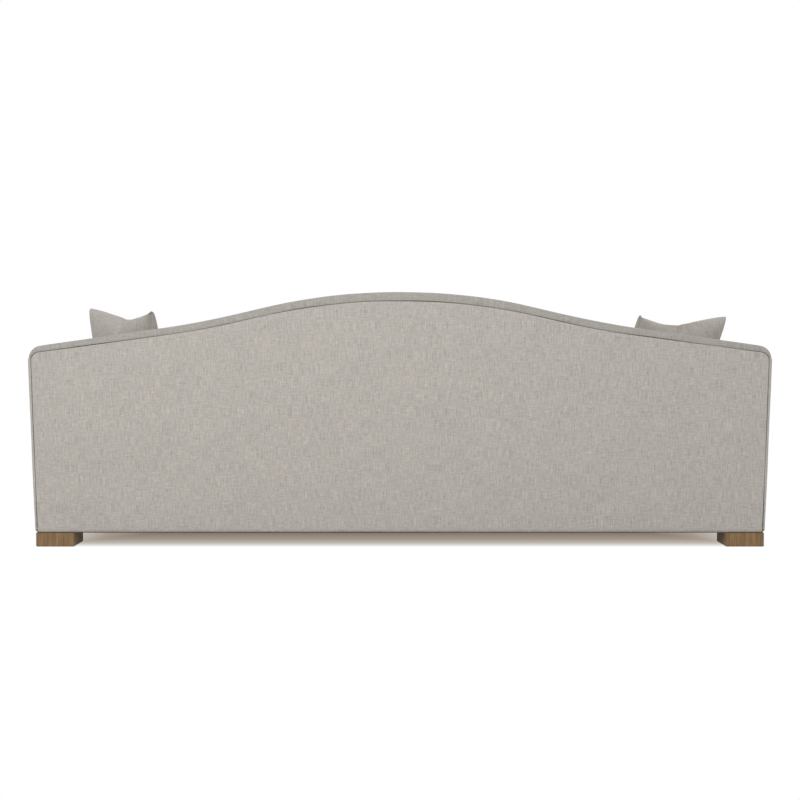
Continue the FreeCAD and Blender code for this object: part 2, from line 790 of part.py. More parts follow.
def sewn_outline(width, depth, draw_in, corner, runs):
    """Corners of a rectangle in straight runs, its sides drawn in between round or sharp corners."""
    points = []
    for quarter in range(4):
        turn = math.radians(90 * quarter)
        out = Vector(math.sin(turn), -math.cos(turn), 0)
        along = Vector(math.cos(turn), math.sin(turn), 0)
        long_way, out_way = (width, depth) if quarter % 2 == 0 else (depth, width)
        half_side = long_way / 2 - corner
        for i in range(runs + 1 if corner > 0 else runs):
            t = 2 * i / runs - 1
            points.append(along * (t * half_side) + out * (out_way / 2 - draw_in * (1 - t * t)))
        centre = along * half_side + out * (out_way / 2 - corner)
        for i in range(1, corner_runs if corner > 0 else 1):
            angle = math.radians(90 * i / corner_runs)
            points.append(centre + (along * math.sin(angle) + out * math.cos(angle)) * corner)
    return points


def placed_ring(outline, scale, height):
    return [point * scale + Vector(0, 0, height) for point in outline]


def faceted(rings):
    """A closed solid through rings of matching points, with flat facets between them and flat ends."""
    faces = []
    for low, high in zip(rings, rings[1:]):
        for i in range(len(low)):
            j = (i + 1) % len(low)
            for facet in ([low[i], low[j], high[j]], [low[i], high[j], high[i]]):
                faces.append(Part.Face(Part.makePolygon(facet + [facet[0]])))
    for ring in (rings[0], rings[-1]):
        faces.append(Part.Face(Part.makePolygon(ring + [ring[0]])))
    solid = Part.makeSolid(Part.makeShell(faces))
    solid.fix(0, 0, 0)
    return solid.removeSplitter()


def seat_cushion_size():
    clear = seat_cushion_gap
    width = (2 * arm_inner_x - clear * (seat_cushion_count + 1)) / seat_cushion_count
    front = front_face_y + seat_cushion_front_set_back
    rear = inside_face_arc(0.0)[1](deck_height) - clear
    return width, front, rear


def seat_cushion_form(inset):
    """A boxed cushion about its own middle: flat base, upright border and a crowned top."""
    width, front, rear = seat_cushion_size()
    w = width - 2 * inset
    d = rear - front - 2 * inset
    outline = sewn_outline(w, d, seat_cushion_draw_in, seat_cushion_corner - inset, side_runs)
    edge = seat_cushion_edge
    eased = 1 - 2 * edge / width
    base = deck_height + inset
    border_top = deck_height + seat_cushion_border - inset
    levels = [(eased, base), (1.0, base + edge), (1.0, border_top - edge), (eased, border_top)]
    for i in range(seat_cushion_crown_rings):
        share = (i + 1) / seat_cushion_crown_rings
        rise = seat_cushion_crown * (1 - (1 - share) ** 2)
        levels.append((eased - share * (eased - seat_cushion_flat_share), border_top + rise))
    return faceted([placed_ring(outline, scale, z) for scale, z in levels])


def seat_cushion(index):
    """Cover, foam core and zip of the cushion at that place, counted from the left."""
    width, front, rear = seat_cushion_size()
    step = width + seat_cushion_gap
    x = (index - (seat_cushion_count - 1) / 2) * step
    y = (front + rear) / 2
    place = Vector(x, y, 0)
    outer = seat_cushion_form(0.0)
    core = seat_cushion_form(cover_thickness + layer_gap)
    cover = outer.cut(seat_cushion_form(cover_thickness))
    zip_half = width * zip_length_share / 2
    middle_z = deck_height + seat_cushion_border / 2
    zone = block(-zip_half, zip_half, 0, rear - front, middle_z - zip_width / 2, middle_z + zip_width / 2)
    shallow = seat_cushion_form(zip_thickness)
    zip_tape = outer.cut(shallow).common(zone)
    pocket = outer.cut(seat_cushion_form(zip_thickness + layer_gap)).common(zone)
    cover = cover.cut(pocket)
    return [s.translated(place) for s in (cover, core, zip_tape)]


def pillow_form(inset):
    """A knife-edge pillow about its own middle, thick along its third axis, with four pulled-out ears.

    From the seam to the middle the sides of its rings go from drawn in to bowed out.
    """
    half_thickness = pillow_thickness / 2 - inset
    far = pillow_ring_share * min(pillow_width, pillow_height) / 2
    halves = {1: [], -1: []}
    for i in range(pillow_rings + 1):
        angle = math.radians(90 * i / pillow_rings)
        pull = inset + far * (1 - math.cos(angle))
        draw_in = pillow_draw_in * (1 - pillow_bow_share * math.sin(angle))
        outline = sewn_outline(pillow_width - 2 * pull, pillow_height - 2 * pull, draw_in, 0, pillow_side_runs)
        for side, rings in halves.items():
            rings.append(placed_ring(outline, 1.0, side * half_thickness * math.sin(angle) ** pillow_ear_power))
    return faceted(list(reversed(halves[-1]))[:-1] + halves[1])


def pillow_axes(yaw, lean, roll):
    """Directions of a leaning pillow on the right: along its top edge, up its face, and out of its rear face."""
    turn = math.radians(yaw)
    tilt = math.radians(lean)
    spin = math.radians(roll)
    along = Vector(math.cos(turn), -math.sin(turn), 0)
    to_corner = Vector(math.sin(turn), math.cos(turn), 0)
    up = to_corner * math.sin(tilt) + Vector(0, 0, math.cos(tilt))
    rearward = to_corner * math.cos(tilt) - Vector(0, 0, math.sin(tilt))
    rolled_along = along * math.cos(spin) + up * math.sin(spin)
    rolled_up = up * math.cos(spin) - along * math.sin(spin)
    return rolled_along, rolled_up, rearward


def pillow(from_arm, from_back, yaw, lean, roll, below_crown):
    """Cover and filling of a pillow in the right corner, standing on the seat and leaning to the corner."""
    along, up, rearward = pillow_axes(yaw, lean, roll)
    low_ear_z = deck_height + seat_cushion_border + seat_cushion_crown - below_crown
    middle_z = low_ear_z + (pillow_width * abs(along.z) + pillow_height * up.z) / 2
    top_y = inside_chord_y(middle_z + up.z * pillow_height / 2) - from_back
    top_middle = Vector(arm_inner_x - from_arm, top_y, 0)
    centre = top_middle - up * (pillow_height / 2)
    centre.z = middle_z
    turn = FreeCAD.Matrix(
        along.x, up.x, rearward.x, centre.x,
        along.y, up.y, rearward.y, centre.y,
        along.z, up.z, rearward.z, centre.z,
        0, 0, 0, 1)
    cover = pillow_form(0.0).cut(pillow_form(cover_thickness))
    fill = pillow_form(cover_thickness + layer_gap)
    place = FreeCAD.Placement(turn)
    result = []
    for shape in (cover, fill):
        moved = shape.copy()
        moved.Placement = place
        result.append(moved)
    return result


# Writing the pieces

def save(name, shapes):
    """One STEP file for a named piece, which may be a group of like solids."""
    solids = []
    for shape in shapes if isinstance(shapes, list) else [shapes]:
        solids += shape.Solids
    result = solids[0] if len(solids) == 1 else Part.makeCompound(solids)
    result.exportStep(os.path.join("parts", name + ".step"))
    box = result.BoundBox
    print(f"{name}: {len(solids)} solid(s), {result.Volume / 1e6:.3f} litres, valid {result.isValid()},"
          f" z {box.ZMin:.1f} to {box.ZMax:.1f}")


def save_pair(name, shapes):
    """The right-hand piece and its mirror image on the left."""
    group = shapes if isinstance(shapes, list) else [shapes]
    save("right_" + name, group)
    save("left_" + name, [mirrored(s) for s in group])


def main():
    os.makedirs("parts", exist_ok=True)

    front_rail, rear_rail, side_rail, base_rail = seat_rails()
    arm_rail, arm_post, arm_tack = arm_timber()
    post = back_posts()
    save("front_seat_rail", front_rail)
    save("rear_seat_rail", rear_rail)
    save("seat_side_rails", [side_rail, mirrored(side_rail)])
    save("arm_base_rails", [base_rail, mirrored(base_rail)])
    stretchers = seat_stretchers()
    save("seat_stretchers", [s.cut(centre_nut_pocket()) for s in stretchers])
    save("corner_blocks", corner_blocks())
    save_pair("back_post", post)
    save("camel_top_rail", camel_top_rail())
    save("back_tack_rail", back_tack_rail())
    save("back_uprights", back_uprights())
    save_pair("arm_top_rail", arm_rail)
    save("arm_front_posts", [arm_post, mirrored(arm_post)])
    save("arm_tack_rails", [arm_tack, mirrored(arm_tack)])

    save("seat_straps", seat_straps())
    save("cross_straps", cross_straps())
    save("back_straps", back_straps())
    save("outside_back_liner", back_liner())
    liners = arm_liners()
    save("arm_liners", liners + [mirrored(liner) for liner in liners])

    foam, rear_pad = back_padding()
    save("back_foam", foam)
    save("outside_back_pad", rear_pad)
    save_pair("arm_padding", arm_padding())
    border, border_pad = front_border()
    save("front_border_cover", border)
    save("front_border_pad", border_pad)
    deck_pad, deck_cloth = deck()
    save("deck_pad", deck_pad)
    save("deck_cover", deck_cloth)
    save("dust_cover", dust_cover())

    outside, band, inside, end_piece = back_covers()
    save("outside_back_cover", outside)
    save("back_top_band", band)
    save("inside_back_cover", inside)
    outer, inner, arm_band = arm_covers(end_piece)
    save_pair("arm_outside_cover", outer)
    save_pair("arm_inside_cover", inner)
    save_pair("arm_band", arm_band)

    names = ["front_right_foot", "front_left_foot", "rear_right_foot", "rear_left_foot"]
    for name, (x, y) in zip(names, foot_centres()):
        save(name, foot(x, y, foot_size))
    save("centre_foot", foot(*centre_foot_place(), centre_foot_size))
    places = foot_centres() + [centre_foot_place()]
    save("foot_plates", [foot_plate(x, y) for x, y in places])
    save("foot_tee_nuts", [tee_nut(x, y) for x, y in places])
    save("foot_bolts", [foot_bolt(x, y) for x, y in places])

    for index, side in enumerate(("left", "centre", "right")):
        cover, core, zip_tape = seat_cushion(index)
        save(side + "_seat_cushion_cover", cover)
        save(side + "_seat_cushion_core", core)
        save(side + "_seat_cushion_zip", zip_tape)

    right = pillow(right_pillow_from_arm, right_pillow_from_back, right_pillow_yaw,
                   right_pillow_lean, right_pillow_roll, right_pillow_below_crown)
    left = pillow(left_pillow_from_arm, left_pillow_from_back, left_pillow_yaw,
                  left_pillow_lean, left_pillow_roll, left_pillow_below_crown)
    save("right_pillow_cover", right[0])
    save("right_pillow_filling", right[1])
    save("left_pillow_cover", mirrored(left[0]))
    save("left_pillow_filling", mirrored(left[1]))


if __name__ == "__main__":
    main()
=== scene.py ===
import json
import math

import bmesh
import bpy
from bpy.props import FloatProperty, FloatVectorProperty, IntProperty, PointerProperty
from mathutils import Matrix, Vector, noise


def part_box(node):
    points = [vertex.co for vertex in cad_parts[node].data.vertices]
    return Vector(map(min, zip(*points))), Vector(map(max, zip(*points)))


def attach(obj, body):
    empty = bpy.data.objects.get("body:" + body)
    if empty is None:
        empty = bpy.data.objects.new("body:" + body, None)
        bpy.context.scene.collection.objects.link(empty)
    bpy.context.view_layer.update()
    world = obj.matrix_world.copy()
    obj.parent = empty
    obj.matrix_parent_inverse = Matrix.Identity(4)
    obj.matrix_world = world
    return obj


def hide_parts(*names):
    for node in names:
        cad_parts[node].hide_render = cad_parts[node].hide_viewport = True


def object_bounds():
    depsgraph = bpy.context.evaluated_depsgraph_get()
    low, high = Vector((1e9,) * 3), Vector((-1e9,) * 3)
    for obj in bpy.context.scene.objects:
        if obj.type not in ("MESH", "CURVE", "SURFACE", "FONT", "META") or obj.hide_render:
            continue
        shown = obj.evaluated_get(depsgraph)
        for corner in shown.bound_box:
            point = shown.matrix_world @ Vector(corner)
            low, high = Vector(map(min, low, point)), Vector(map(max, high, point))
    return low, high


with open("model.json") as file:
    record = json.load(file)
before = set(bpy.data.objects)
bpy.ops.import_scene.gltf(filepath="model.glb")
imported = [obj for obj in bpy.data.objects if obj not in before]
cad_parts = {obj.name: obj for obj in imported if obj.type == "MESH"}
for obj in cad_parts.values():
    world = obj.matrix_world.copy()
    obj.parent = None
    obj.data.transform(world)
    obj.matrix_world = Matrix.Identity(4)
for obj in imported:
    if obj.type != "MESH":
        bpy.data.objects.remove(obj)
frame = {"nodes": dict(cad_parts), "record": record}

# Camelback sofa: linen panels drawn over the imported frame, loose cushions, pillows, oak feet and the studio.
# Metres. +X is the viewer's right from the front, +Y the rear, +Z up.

bl_info = {
    "name": "Camelback sofa",
    "version": (1, 0, 0),
    "blender": (4, 5, 0),
    "location": "View3D > Sidebar > Sofa",
    "description": "Builds the upholstery, cushions and pillows of a camelback sofa round its frame",
    "category": "Object",
}

cad_low, cad_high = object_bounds()
cushion_low, cushion_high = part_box("centre_seat_cushion_cover")
border_low, border_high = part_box("front_border_cover")

QUARTER = math.radians(90)
CREASE = math.radians(50)    # faces that meet at more than this keep a sharp edge
NEAR = 0.0003                # a vertex this close to a place is taken as being there
SEAM_GAP = 0.0003            # a panel ends this far from the middle of a seam
SEAM_LIP = 0.0012            # where it turns down into the seam
SEAM_ROLL = 0.006            # where it lies flat beside the seam
LIP_SHARE = 0.3              # depth of the lip, as a share of the seam's
EDGE_LIP = (0.0015, 0.0012)  # lip past a rounded edge: its run and its depth
EDGE_END = 0.003             # run past a rounded edge to the panel's end in the seam
EDGE_NEXT = 0.0036           # run past a rounded edge to the start of the next panel
ARM_ROWS = 16                # rows of quads down an arm


# Sizes and colours that a user would change

def length(name, default, description):
    """A size in metres."""
    return FloatProperty(name=name, description=description, default=default, unit="LENGTH")


class SofaShape(bpy.types.PropertyGroup):
    """Sizes of the camel back, the arms and the sewn panels."""
    hump_radius: length("Hump radius", 2.06, "Radius of the hump of the back")
    shoulder_angle: FloatProperty(
        name="Shoulder angle", description="Slope where the hump ends, in degrees", default=13.3)
    shoulder_run: length("Shoulder run", 0.134, "Straight stretch below the hump")
    scoop_radius: length("Scoop radius", 2.575, "Radius of the hollow beside the hump")
    wing_angle: FloatProperty(
        name="Wing angle", description="Slope of the straight wings, in degrees", default=8.3)
    corner_radius: length("Corner radius", 0.048, "Radius at the ends of the top line")
    rear_rake: FloatProperty(
        name="Rear rake", description="Lean of the outside back, in degrees", default=5.0)
    inside_rake: FloatProperty(
        name="Inside rake", description="Lean of the inside back, in degrees", default=12.0)
    top_thickness: length("Top thickness", 0.14, "Depth of the back at its top")
    inside_bulge: length("Inside bulge", 0.014, "How full the inside back is")
    rear_crown: length("Rear crown", 0.028, "Rounding from the outside back to the top")
    inside_crown: length("Inside crown", 0.044, "Rounding from the top to the inside back")
    top_seam: length("Top seam", 0.0335, "How far the seam lies under the crown")
    side_seam: length("Side seam", 0.0115, "How far the seam lies in from the side")
    side_taper: length("Side taper", 0.005, "How far the sides draw in towards the floor")
    wing_lift: length("Wing lift", 0.0055, "How far the ends of the wings stand up over the drawn line")
    seam_rise: length("Seam rise", 0.0105, "How far the seam nears the crown at the ends")
    arm_width: length("Arm width", 0.135, "Width of one arm")
    arm_drop: length("Arm drop", 0.06, "How far the front of the arm lies under the end of the top line")
    arm_flat_run: length("Arm flat run", 0.25, "Level front stretch of the arm")
    arm_scoop: length("Arm scoop", 2.15, "Radius of the arm's rise to the back")
    arm_nose: length("Arm nose", 0.058, "Rounding of the arm's front end")
    arm_edge: length("Arm edge", 0.026, "Rounding of the arm's long edges")
    hem_radius: length("Hem radius", 0.012, "Rounding where a cover turns under the frame")
    cloth: length("Cloth", 0.002, "Thickness of the cover")
    seam_depth: length("Seam depth", 0.0018, "How deep a seam pulls in")
    edge_front: length("Border edge", 0.016, "Rounding of the front border's top")
    column_step: length("Column step", 0.03, "Length of a quad along the top line")
    rows: IntProperty(
        name="Rows", description="Rows of quads from the top line to the floor", default=24)


class SofaCushions(bpy.types.PropertyGroup):
    """Sizes of the loose cushions and pillows."""
    crown: length("Crown", 0.02, "Height of a seat cushion's crown")
    corner: length("Corner", 0.03, "Rounding of a seat cushion's corners in plan")
    puff: length("Puff", 0.006, "How far the filling may push a seat cushion's cloth")
    pillow_flat: FloatVectorProperty(
        name="Pillow cover", description="Flat size of a pillow cover", default=(0.508, 0.488, 0.012),
        size=3, unit="LENGTH")
    pillow_full: FloatVectorProperty(
        name="Pillow", description="Size of a filled pillow from ear to ear", default=(0.45, 0.432, 0.16),
        size=3, unit="LENGTH")
    right_pillow: FloatVectorProperty(
        name="Right pillow", description="Distance from the arm and from the inside back, and sink",
        default=(0.1255, 0.208, 0.027), size=3, unit="LENGTH")
    right_turn: FloatVectorProperty(
        name="Right pillow turn", description="Yaw, lean and roll in degrees",
        default=(48.9, 11.0, 2.7), size=3)
    left_pillow: FloatVectorProperty(
        name="Left pillow", description="Distance from the arm and from the inside back, and sink",
        default=(0.122, 0.142, 0.01), size=3, unit="LENGTH")
    left_turn: FloatVectorProperty(
        name="Left pillow turn", description="Yaw, lean and roll in degrees",
        default=(33.8, 25.0, 0.0), size=3)


class SofaFinish(bpy.types.PropertyGroup):
    """Colours of the cloth, the feet and the hidden layers."""
    linen: FloatVectorProperty(
        name="Linen", description="Mean colour of the upholstery", default=(0.455, 0.428, 0.396),
        size=3, subtype="COLOR")
    pillow_linen: FloatVectorProperty(
        name="Pillow linen", description="Mean colour of the pillows", default=(0.43, 0.40, 0.365),
        size=3, subtype="COLOR")
    oak: FloatVectorProperty(
        name="Oak", description="Mean colour of the feet", default=(0.30, 0.178, 0.074),
        size=3, subtype="COLOR")
    slub: FloatProperty(
        name="Slub", description="Strength of the thick threads", default=0.64, min=0.0, max=1.0)
    thread: length("Thread", 0.0011, "Width of one thread")


class SofaStudio(bpy.types.PropertyGroup):
    """Camera and light."""
    camera_height: length("Camera height", 0.70, "Height of the lens over the floor")
    camera_back: length("Camera distance", 5.20, "Place of the lens behind the sofa")
    lens: FloatProperty(
        name="Lens", description="Focal length in millimetres on a 36 mm sensor", default=60.2)
    tilt: FloatProperty(
        name="Tilt", description="How far the camera looks down, in degrees", default=2.04)
    sky: FloatProperty(
        name="Sky", description="Strength of the even light all round", default=0.76)
    key: FloatProperty(
        name="Key", description="Power of the soft lamp behind the camera, in watts", default=86.0)


def shape():
    return bpy.context.scene.sofa_shape


def half_width():
    return cad_high.x


def rear_y(z):
    """The outside back at height z."""
    s = shape()
    widest = cad_high.z - s.rear_crown * (2 - math.sqrt(2))
    return cad_high.y - (widest - z) * math.tan(math.radians(s.rear_rake))


def inside_chord(z):
    """The inside back at height z, without its bulge."""
    s = shape()
    return rear_y(cad_high.z) - s.top_thickness - (cad_high.z - z) * math.tan(math.radians(s.inside_rake))


def inside_y(z):
    """The bulged inside back at height z."""
    under_deck = 0.076
    low = border_high.z - under_deck
    middle = (low + cad_high.z) / 2
    share = (z - middle) / (cad_high.z - middle)
    return inside_chord(z) - shape().inside_bulge * max(0.0, 1 - share * share)


# Drawing in edit mode

PLANES = {
    "xz": (Vector((1, 0, 0)), Vector((0, 0, 1)), Vector((0, 1, 0)), (0, 1, 0)),
    "yz": (Vector((0, 1, 0)), Vector((0, 0, 1)), Vector((1, 0, 0)), (-1, 0, 0)),
}


def rename(piece, name):
    piece.name = name
    piece.data.name = name


def select_only(piece):
    bpy.ops.object.select_all(action="DESELECT")
    piece.select_set(True)
    bpy.context.view_layer.objects.active = piece


def start_piece(name):
    """An empty mesh in edit mode, ready to be drawn in."""
    bpy.ops.object.select_all(action="DESELECT")
    bpy.ops.mesh.primitive_plane_add(size=0.01)
    piece = bpy.context.object
    rename(piece, name)
    bpy.ops.object.mode_set(mode="EDIT")
    bpy.ops.mesh.select_all(action="SELECT")
    bpy.ops.mesh.delete(type="VERT")
    return piece


def start_grid(name, columns, rows, size, place):
    """A level grid of quads in edit mode, with all of it selected."""
    bpy.ops.object.select_all(action="DESELECT")
    bpy.ops.mesh.primitive_grid_add(x_subdivisions=columns, y_subdivisions=rows, size=1)
    piece = bpy.context.object
    rename(piece, name)
    bpy.ops.object.mode_set(mode="EDIT")
    bpy.ops.mesh.select_all(action="SELECT")
    bpy.ops.transform.resize(value=(size[0], size[1], 1))
    bpy.ops.transform.translate(value=place)
    return piece


def count(piece):
    return len(bmesh.from_edit_mesh(piece.data).verts)


def pick(piece, wanted):
    """Selects the vertices that pass a test on the vertex, with what lies between them."""
    bpy.ops.mesh.select_all(action="DESELECT")
    mesh = bmesh.from_edit_mesh(piece.data)
    mesh.verts.index_update()
    for vertex in mesh.verts:
        vertex.select = bool(wanted(vertex))
    mesh.select_flush(True)
    bmesh.update_edit_mesh(piece.data)


def within(vertex, *spans):
    """Whether a vertex is in one of the ranges."""
    return any(first <= vertex.index < last for first, last in spans)


def trace(piece, start, moves, plane, aside=0.0):
    """Draws a line of vertices through runs and turns in a plane, and returns the range of its vertices."""
    across, up, normal, axis = PLANES[plane]
    first = count(piece)
    bpy.ops.mesh.select_all(action="DESELECT")
    place = across * start[0] + up * start[1] + normal * aside
    bpy.ops.mesh.primitive_plane_add(size=0.001, location=place)
    bpy.ops.mesh.merge(type="CENTER")
    for kind, value, size, steps in moves:
        if kind == "turn":
            centre = across * value[0] + up * value[1] + normal * aside
            bpy.ops.mesh.spin(steps=steps, angle=math.radians(size), center=centre, axis=axis)
        else:
            step = (across * value[0] + up * value[1]) * (size / steps)
            for _ in range(steps):
                bpy.ops.mesh.extrude_region_move(TRANSFORM_OT_translate={"value": step})
    return first, count(piece)


def lay(piece, span, place):
    """Moves a range of vertices by a rule on their coordinates."""
    mesh = bmesh.from_edit_mesh(piece.data)
    mesh.verts.ensure_lookup_table()
    for index in range(*span):
        vertex = mesh.verts[index]
        vertex.co = place(vertex.co)
    bmesh.update_edit_mesh(piece.data)


def lay_all(piece, place):
    lay(piece, (0, count(piece)), place)


def raised(start, moves, level, rows):
    """The same line, begun with a straight rise from a level."""
    return (start[0], level), [("run", (0, 1), start[1] - level, rows)] + moves


def bridge(piece, *spans):
    """Joins neighbouring lines of vertices with faces."""
    for low, high in zip(spans, spans[1:]):
        pick(piece, lambda v: within(v, low, high))
        bpy.ops.mesh.bridge_edge_loops()


def fill_down(piece, span, level, rows):
    """Extrudes a line of vertices down to a level and cuts the sheet into rows; returns all its vertices."""
    pick(piece, lambda v: within(v, span))
    first = count(piece)
    bpy.ops.mesh.extrude_region_move(TRANSFORM_OT_translate={"value": (0, 0, -0.001)})
    bpy.ops.transform.resize(value=(1, 1, 0), center_override=(0, 0, level))
    mesh = bmesh.from_edit_mesh(piece.data)
    mesh.verts.index_update()
    bpy.ops.mesh.select_all(action="DESELECT")
    for edge in mesh.edges:
        ends = sorted(v.index for v in edge.verts)
        edge.select = span[0] <= ends[0] < span[1] and first <= ends[1]
    bmesh.update_edit_mesh(piece.data)
    bpy.ops.mesh.subdivide(number_cuts=rows - 1)
    return first, count(piece)


def close_piece(piece, outward, merge=0.0002):
    """Welds the drawn mesh, turns its faces outwards and lays its cloth map in metres."""
    bpy.ops.mesh.select_all(action="SELECT")
    bpy.ops.mesh.remove_doubles(threshold=merge)
    bpy.ops.mesh.delete_loose()
    bpy.ops.mesh.select_all(action="SELECT")
    bpy.ops.mesh.normals_make_consistent(inside=False)
    mesh = bmesh.from_edit_mesh(piece.data)
    facing = 0.0
    for face in mesh.faces:
        facing += face.normal.dot(outward(face.calc_center_median())) * face.calc_area()
    if facing < 0:
        bpy.ops.mesh.flip_normals()
    bpy.ops.uv.cube_project(cube_size=1.0)
    bpy.ops.object.mode_set(mode="OBJECT")


def close_shape(merge):
    """Welds a shape that closes on itself, turns its faces outwards and lays its cloth map in metres."""
    bpy.ops.mesh.select_all(action="SELECT")
    bpy.ops.mesh.remove_doubles(threshold=merge)
    bpy.ops.mesh.normals_make_consistent(inside=False)
    bpy.ops.uv.cube_project(cube_size=1.0)
    bpy.ops.object.mode_set(mode="OBJECT")


def smooth(piece, levels):
    """Subdivides a mesh for good."""
    select_only(piece)
    modifier = piece.modifiers.new("Smooth", "SUBSURF")
    modifier.levels = levels
    modifier.render_levels = levels
    bpy.ops.object.modifier_apply(modifier=modifier.name)


def thicken(piece, thickness):
    """Gives a sheet its thickness on the inner side."""
    select_only(piece)
    modifier = piece.modifiers.new("Cloth", "SOLIDIFY")
    modifier.thickness = thickness
    modifier.offset = -1.0
    bpy.ops.object.modifier_apply(modifier=modifier.name)


def finish_sheet(piece):
    """Smooths a drawn sheet and gives it the thickness of the cover."""
    smooth(piece, 1)
    thicken(piece, shape().cloth)
    bpy.ops.object.shade_smooth_by_angle(angle=CREASE)


def finish_padded(piece, unevenness, size, seed):
    """The same for a cover drawn tight, with the padding under it showing through."""
    smooth(piece, 1)
    bpy.ops.object.shade_smooth_by_angle(angle=CREASE)
    ripple(piece, unevenness, size, seed)
    thicken(piece, shape().cloth)
    bpy.ops.object.shade_smooth_by_angle(angle=CREASE)


def dress(piece, body, material, replaced=()):
    """Material, body and slot of a finished piece, with the CAD parts that it replaces hidden."""
    piece.data.materials.clear()
    piece.data.materials.append(bpy.data.materials[material])
    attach(piece, body)
    if replaced:
        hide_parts(*replaced)


def copy_piece(piece, name):
    """A copy with its own mesh."""
    select_only(piece)
    bpy.ops.object.duplicate()
    copy = bpy.context.object
    rename(copy, name)
    return copy


def mirror_copy(piece, name):
    """A mirrored copy, its faces turned the right way again."""
    copy = copy_piece(piece, name)
    bpy.ops.object.mode_set(mode="EDIT")
    bpy.ops.mesh.select_all(action="SELECT")
    bpy.ops.transform.resize(value=(-1, 1, 1), center_override=(0, 0, 0))
    bpy.ops.mesh.flip_normals()
    bpy.ops.object.mode_set(mode="OBJECT")
    return copy


def ripple(piece, amount, size, seed):
    """A slight unevenness of the padding under a cover, mostly inwards."""
    for vertex in piece.data.vertices:
        wave = noise.noise(vertex.co / size + Vector((seed, seed, seed)))
        vertex.co += vertex.normal * (amount * (wave - 0.5))


def corners(piece):
    """The low and the high corner of a mesh's box."""
    places = [vertex.co for vertex in piece.data.vertices]
    return [Vector([end(place[i] for place in places) for i in range(3)]) for end in (min, max)]


# The camel line

def camel(top, side, corner):
    """Start and moves of the top line, set in by top under the crown and by side at its ends."""
    s = shape()
    a = math.radians(s.shoulder_angle)
    b = math.radians(s.wing_angle)
    up_a = Vector((math.sin(a), math.cos(a)))
    up_b = Vector((math.sin(b), math.cos(b)))
    down_a = Vector((math.cos(a), -math.sin(a)))
    down_b = Vector((math.cos(b), -math.sin(b)))
    hump = Vector((0, cad_high.z - s.hump_radius))
    shoulder_end = hump + up_a * s.hump_radius + down_a * s.shoulder_run
    scoop = shoulder_end + up_a * s.scoop_radius
    scoop_end = scoop - up_b * (s.scoop_radius + top)
    end_x = half_width() - side - corner
    wing = (end_x + corner * up_b.x - scoop_end.x) / down_b.x
    end = scoop_end + down_b * wing - up_b * corner
    sweep = s.shoulder_angle - s.wing_angle
    last_turn = 90 - s.wing_angle
    last_steps = 7
    usual_wing = 0.45

    def steps(length):
        return max(2, round(length / s.column_step))

    wing_steps = steps(usual_wing)
    scoop_steps = steps(math.radians(sweep) * s.scoop_radius)
    shoulder_steps = steps(s.shoulder_run)
    hump_steps = steps(2 * a * s.hump_radius)
    moves = [
        ("turn", (-end.x, end.y), -last_turn, last_steps),
        ("run", (down_b.x, -down_b.y), wing, wing_steps),
        ("turn", (-scoop.x, scoop.y), sweep, scoop_steps),
        ("run", (down_a.x, -down_a.y), s.shoulder_run, shoulder_steps),
        ("turn", hump, -2 * s.shoulder_angle, hump_steps),
        ("run", down_a, s.shoulder_run, shoulder_steps),
        ("turn", scoop, sweep, scoop_steps),
        ("run", down_b, wing, wing_steps),
        ("turn", end, -last_turn, last_steps),
    ]
    return (-end.x - corner, end.y), moves


def end_level():
    """The height where the end corner runs into the straight side."""
    start, _ = camel(0.0, 0.0, shape().corner_radius)
    return start[1]


def near_top(z):
    """0 below the arms, rising to 1 just under the ends of the top line."""
    start, rise = 0.58, 0.09
    return min(1.0, max(0.0, (z - start) / rise))


def settle(co):
    """The sides lean in a little towards the floor, and the wings stand up a little towards their ends."""
    s = shape()
    level = end_level()
    share = max(0.0, (level - co.z) / level)
    lift = s.wing_lift * abs(co.x) / half_width() * near_top(co.z)
    return Vector((co.x * (1 - s.side_taper / half_width() * share), co.y, co.z + lift))


def raise_seam(co, inset):
    """The seam under the crown comes nearer to the crown towards the ends."""
    s = shape()
    rise = s.seam_rise * inset / s.top_seam * abs(co.x) / half_width() * near_top(co.z)
    return Vector((co.x, co.y, co.z + rise))


# Covers of the back

def add_outside_back():
    """The flat panel of the outside back, from its seam round the top and the sides to the hem."""
    s = shape()
    level = border_low.z + s.hem_radius
    corner = 0.032
    piece = start_piece("outside_back")
    rings = [(SEAM_GAP, s.seam_depth), (SEAM_LIP, s.seam_depth * LIP_SHARE), (SEAM_ROLL, 0.0)]
    spans = []
    for inset, depth in rings:
        start, moves = camel(s.top_seam + inset, s.side_seam + inset, corner)
        if depth > 0:
            fall = ("run", (0, -1), start[1] - level, s.rows)
            start, moves = raised(start, moves + [fall], level, s.rows)
        spans.append(trace(piece, start, moves, "xz", aside=-depth))
    sheet = fill_down(piece, spans[2], level, s.rows)
    bridge(piece, spans[0], spans[1])
    side_x = half_width() - s.side_seam - SEAM_ROLL

    def on_edge(v):
        at_side = abs(abs(v.co.x) - side_x) < NEAR and v.index >= sheet[0]
        return within(v, spans[1], spans[2]) or at_side

    pick(piece, on_edge)
    bpy.ops.mesh.bridge_edge_loops()
    pick(piece, lambda v: abs(v.co.z - level) < NEAR)
    bpy.ops.mesh.spin(steps=4, angle=QUARTER, center=(0, -s.hem_radius, level), axis=(1, 0, 0))
    lay_all(piece, lambda co: Vector((co.x, rear_y(co.z) + co.y, co.z)))
    lay_all(piece, lambda co: raise_seam(co, s.top_seam))
    lay_all(piece, settle)
    close_piece(piece, lambda place: Vector((0, 1, 0)))
    finish_padded(piece, unevenness=0.0012, size=0.22, seed=3.0)
    dress(piece, "sofa_frame", "linen", ["outside_back_cover", "outside_back_pad"])


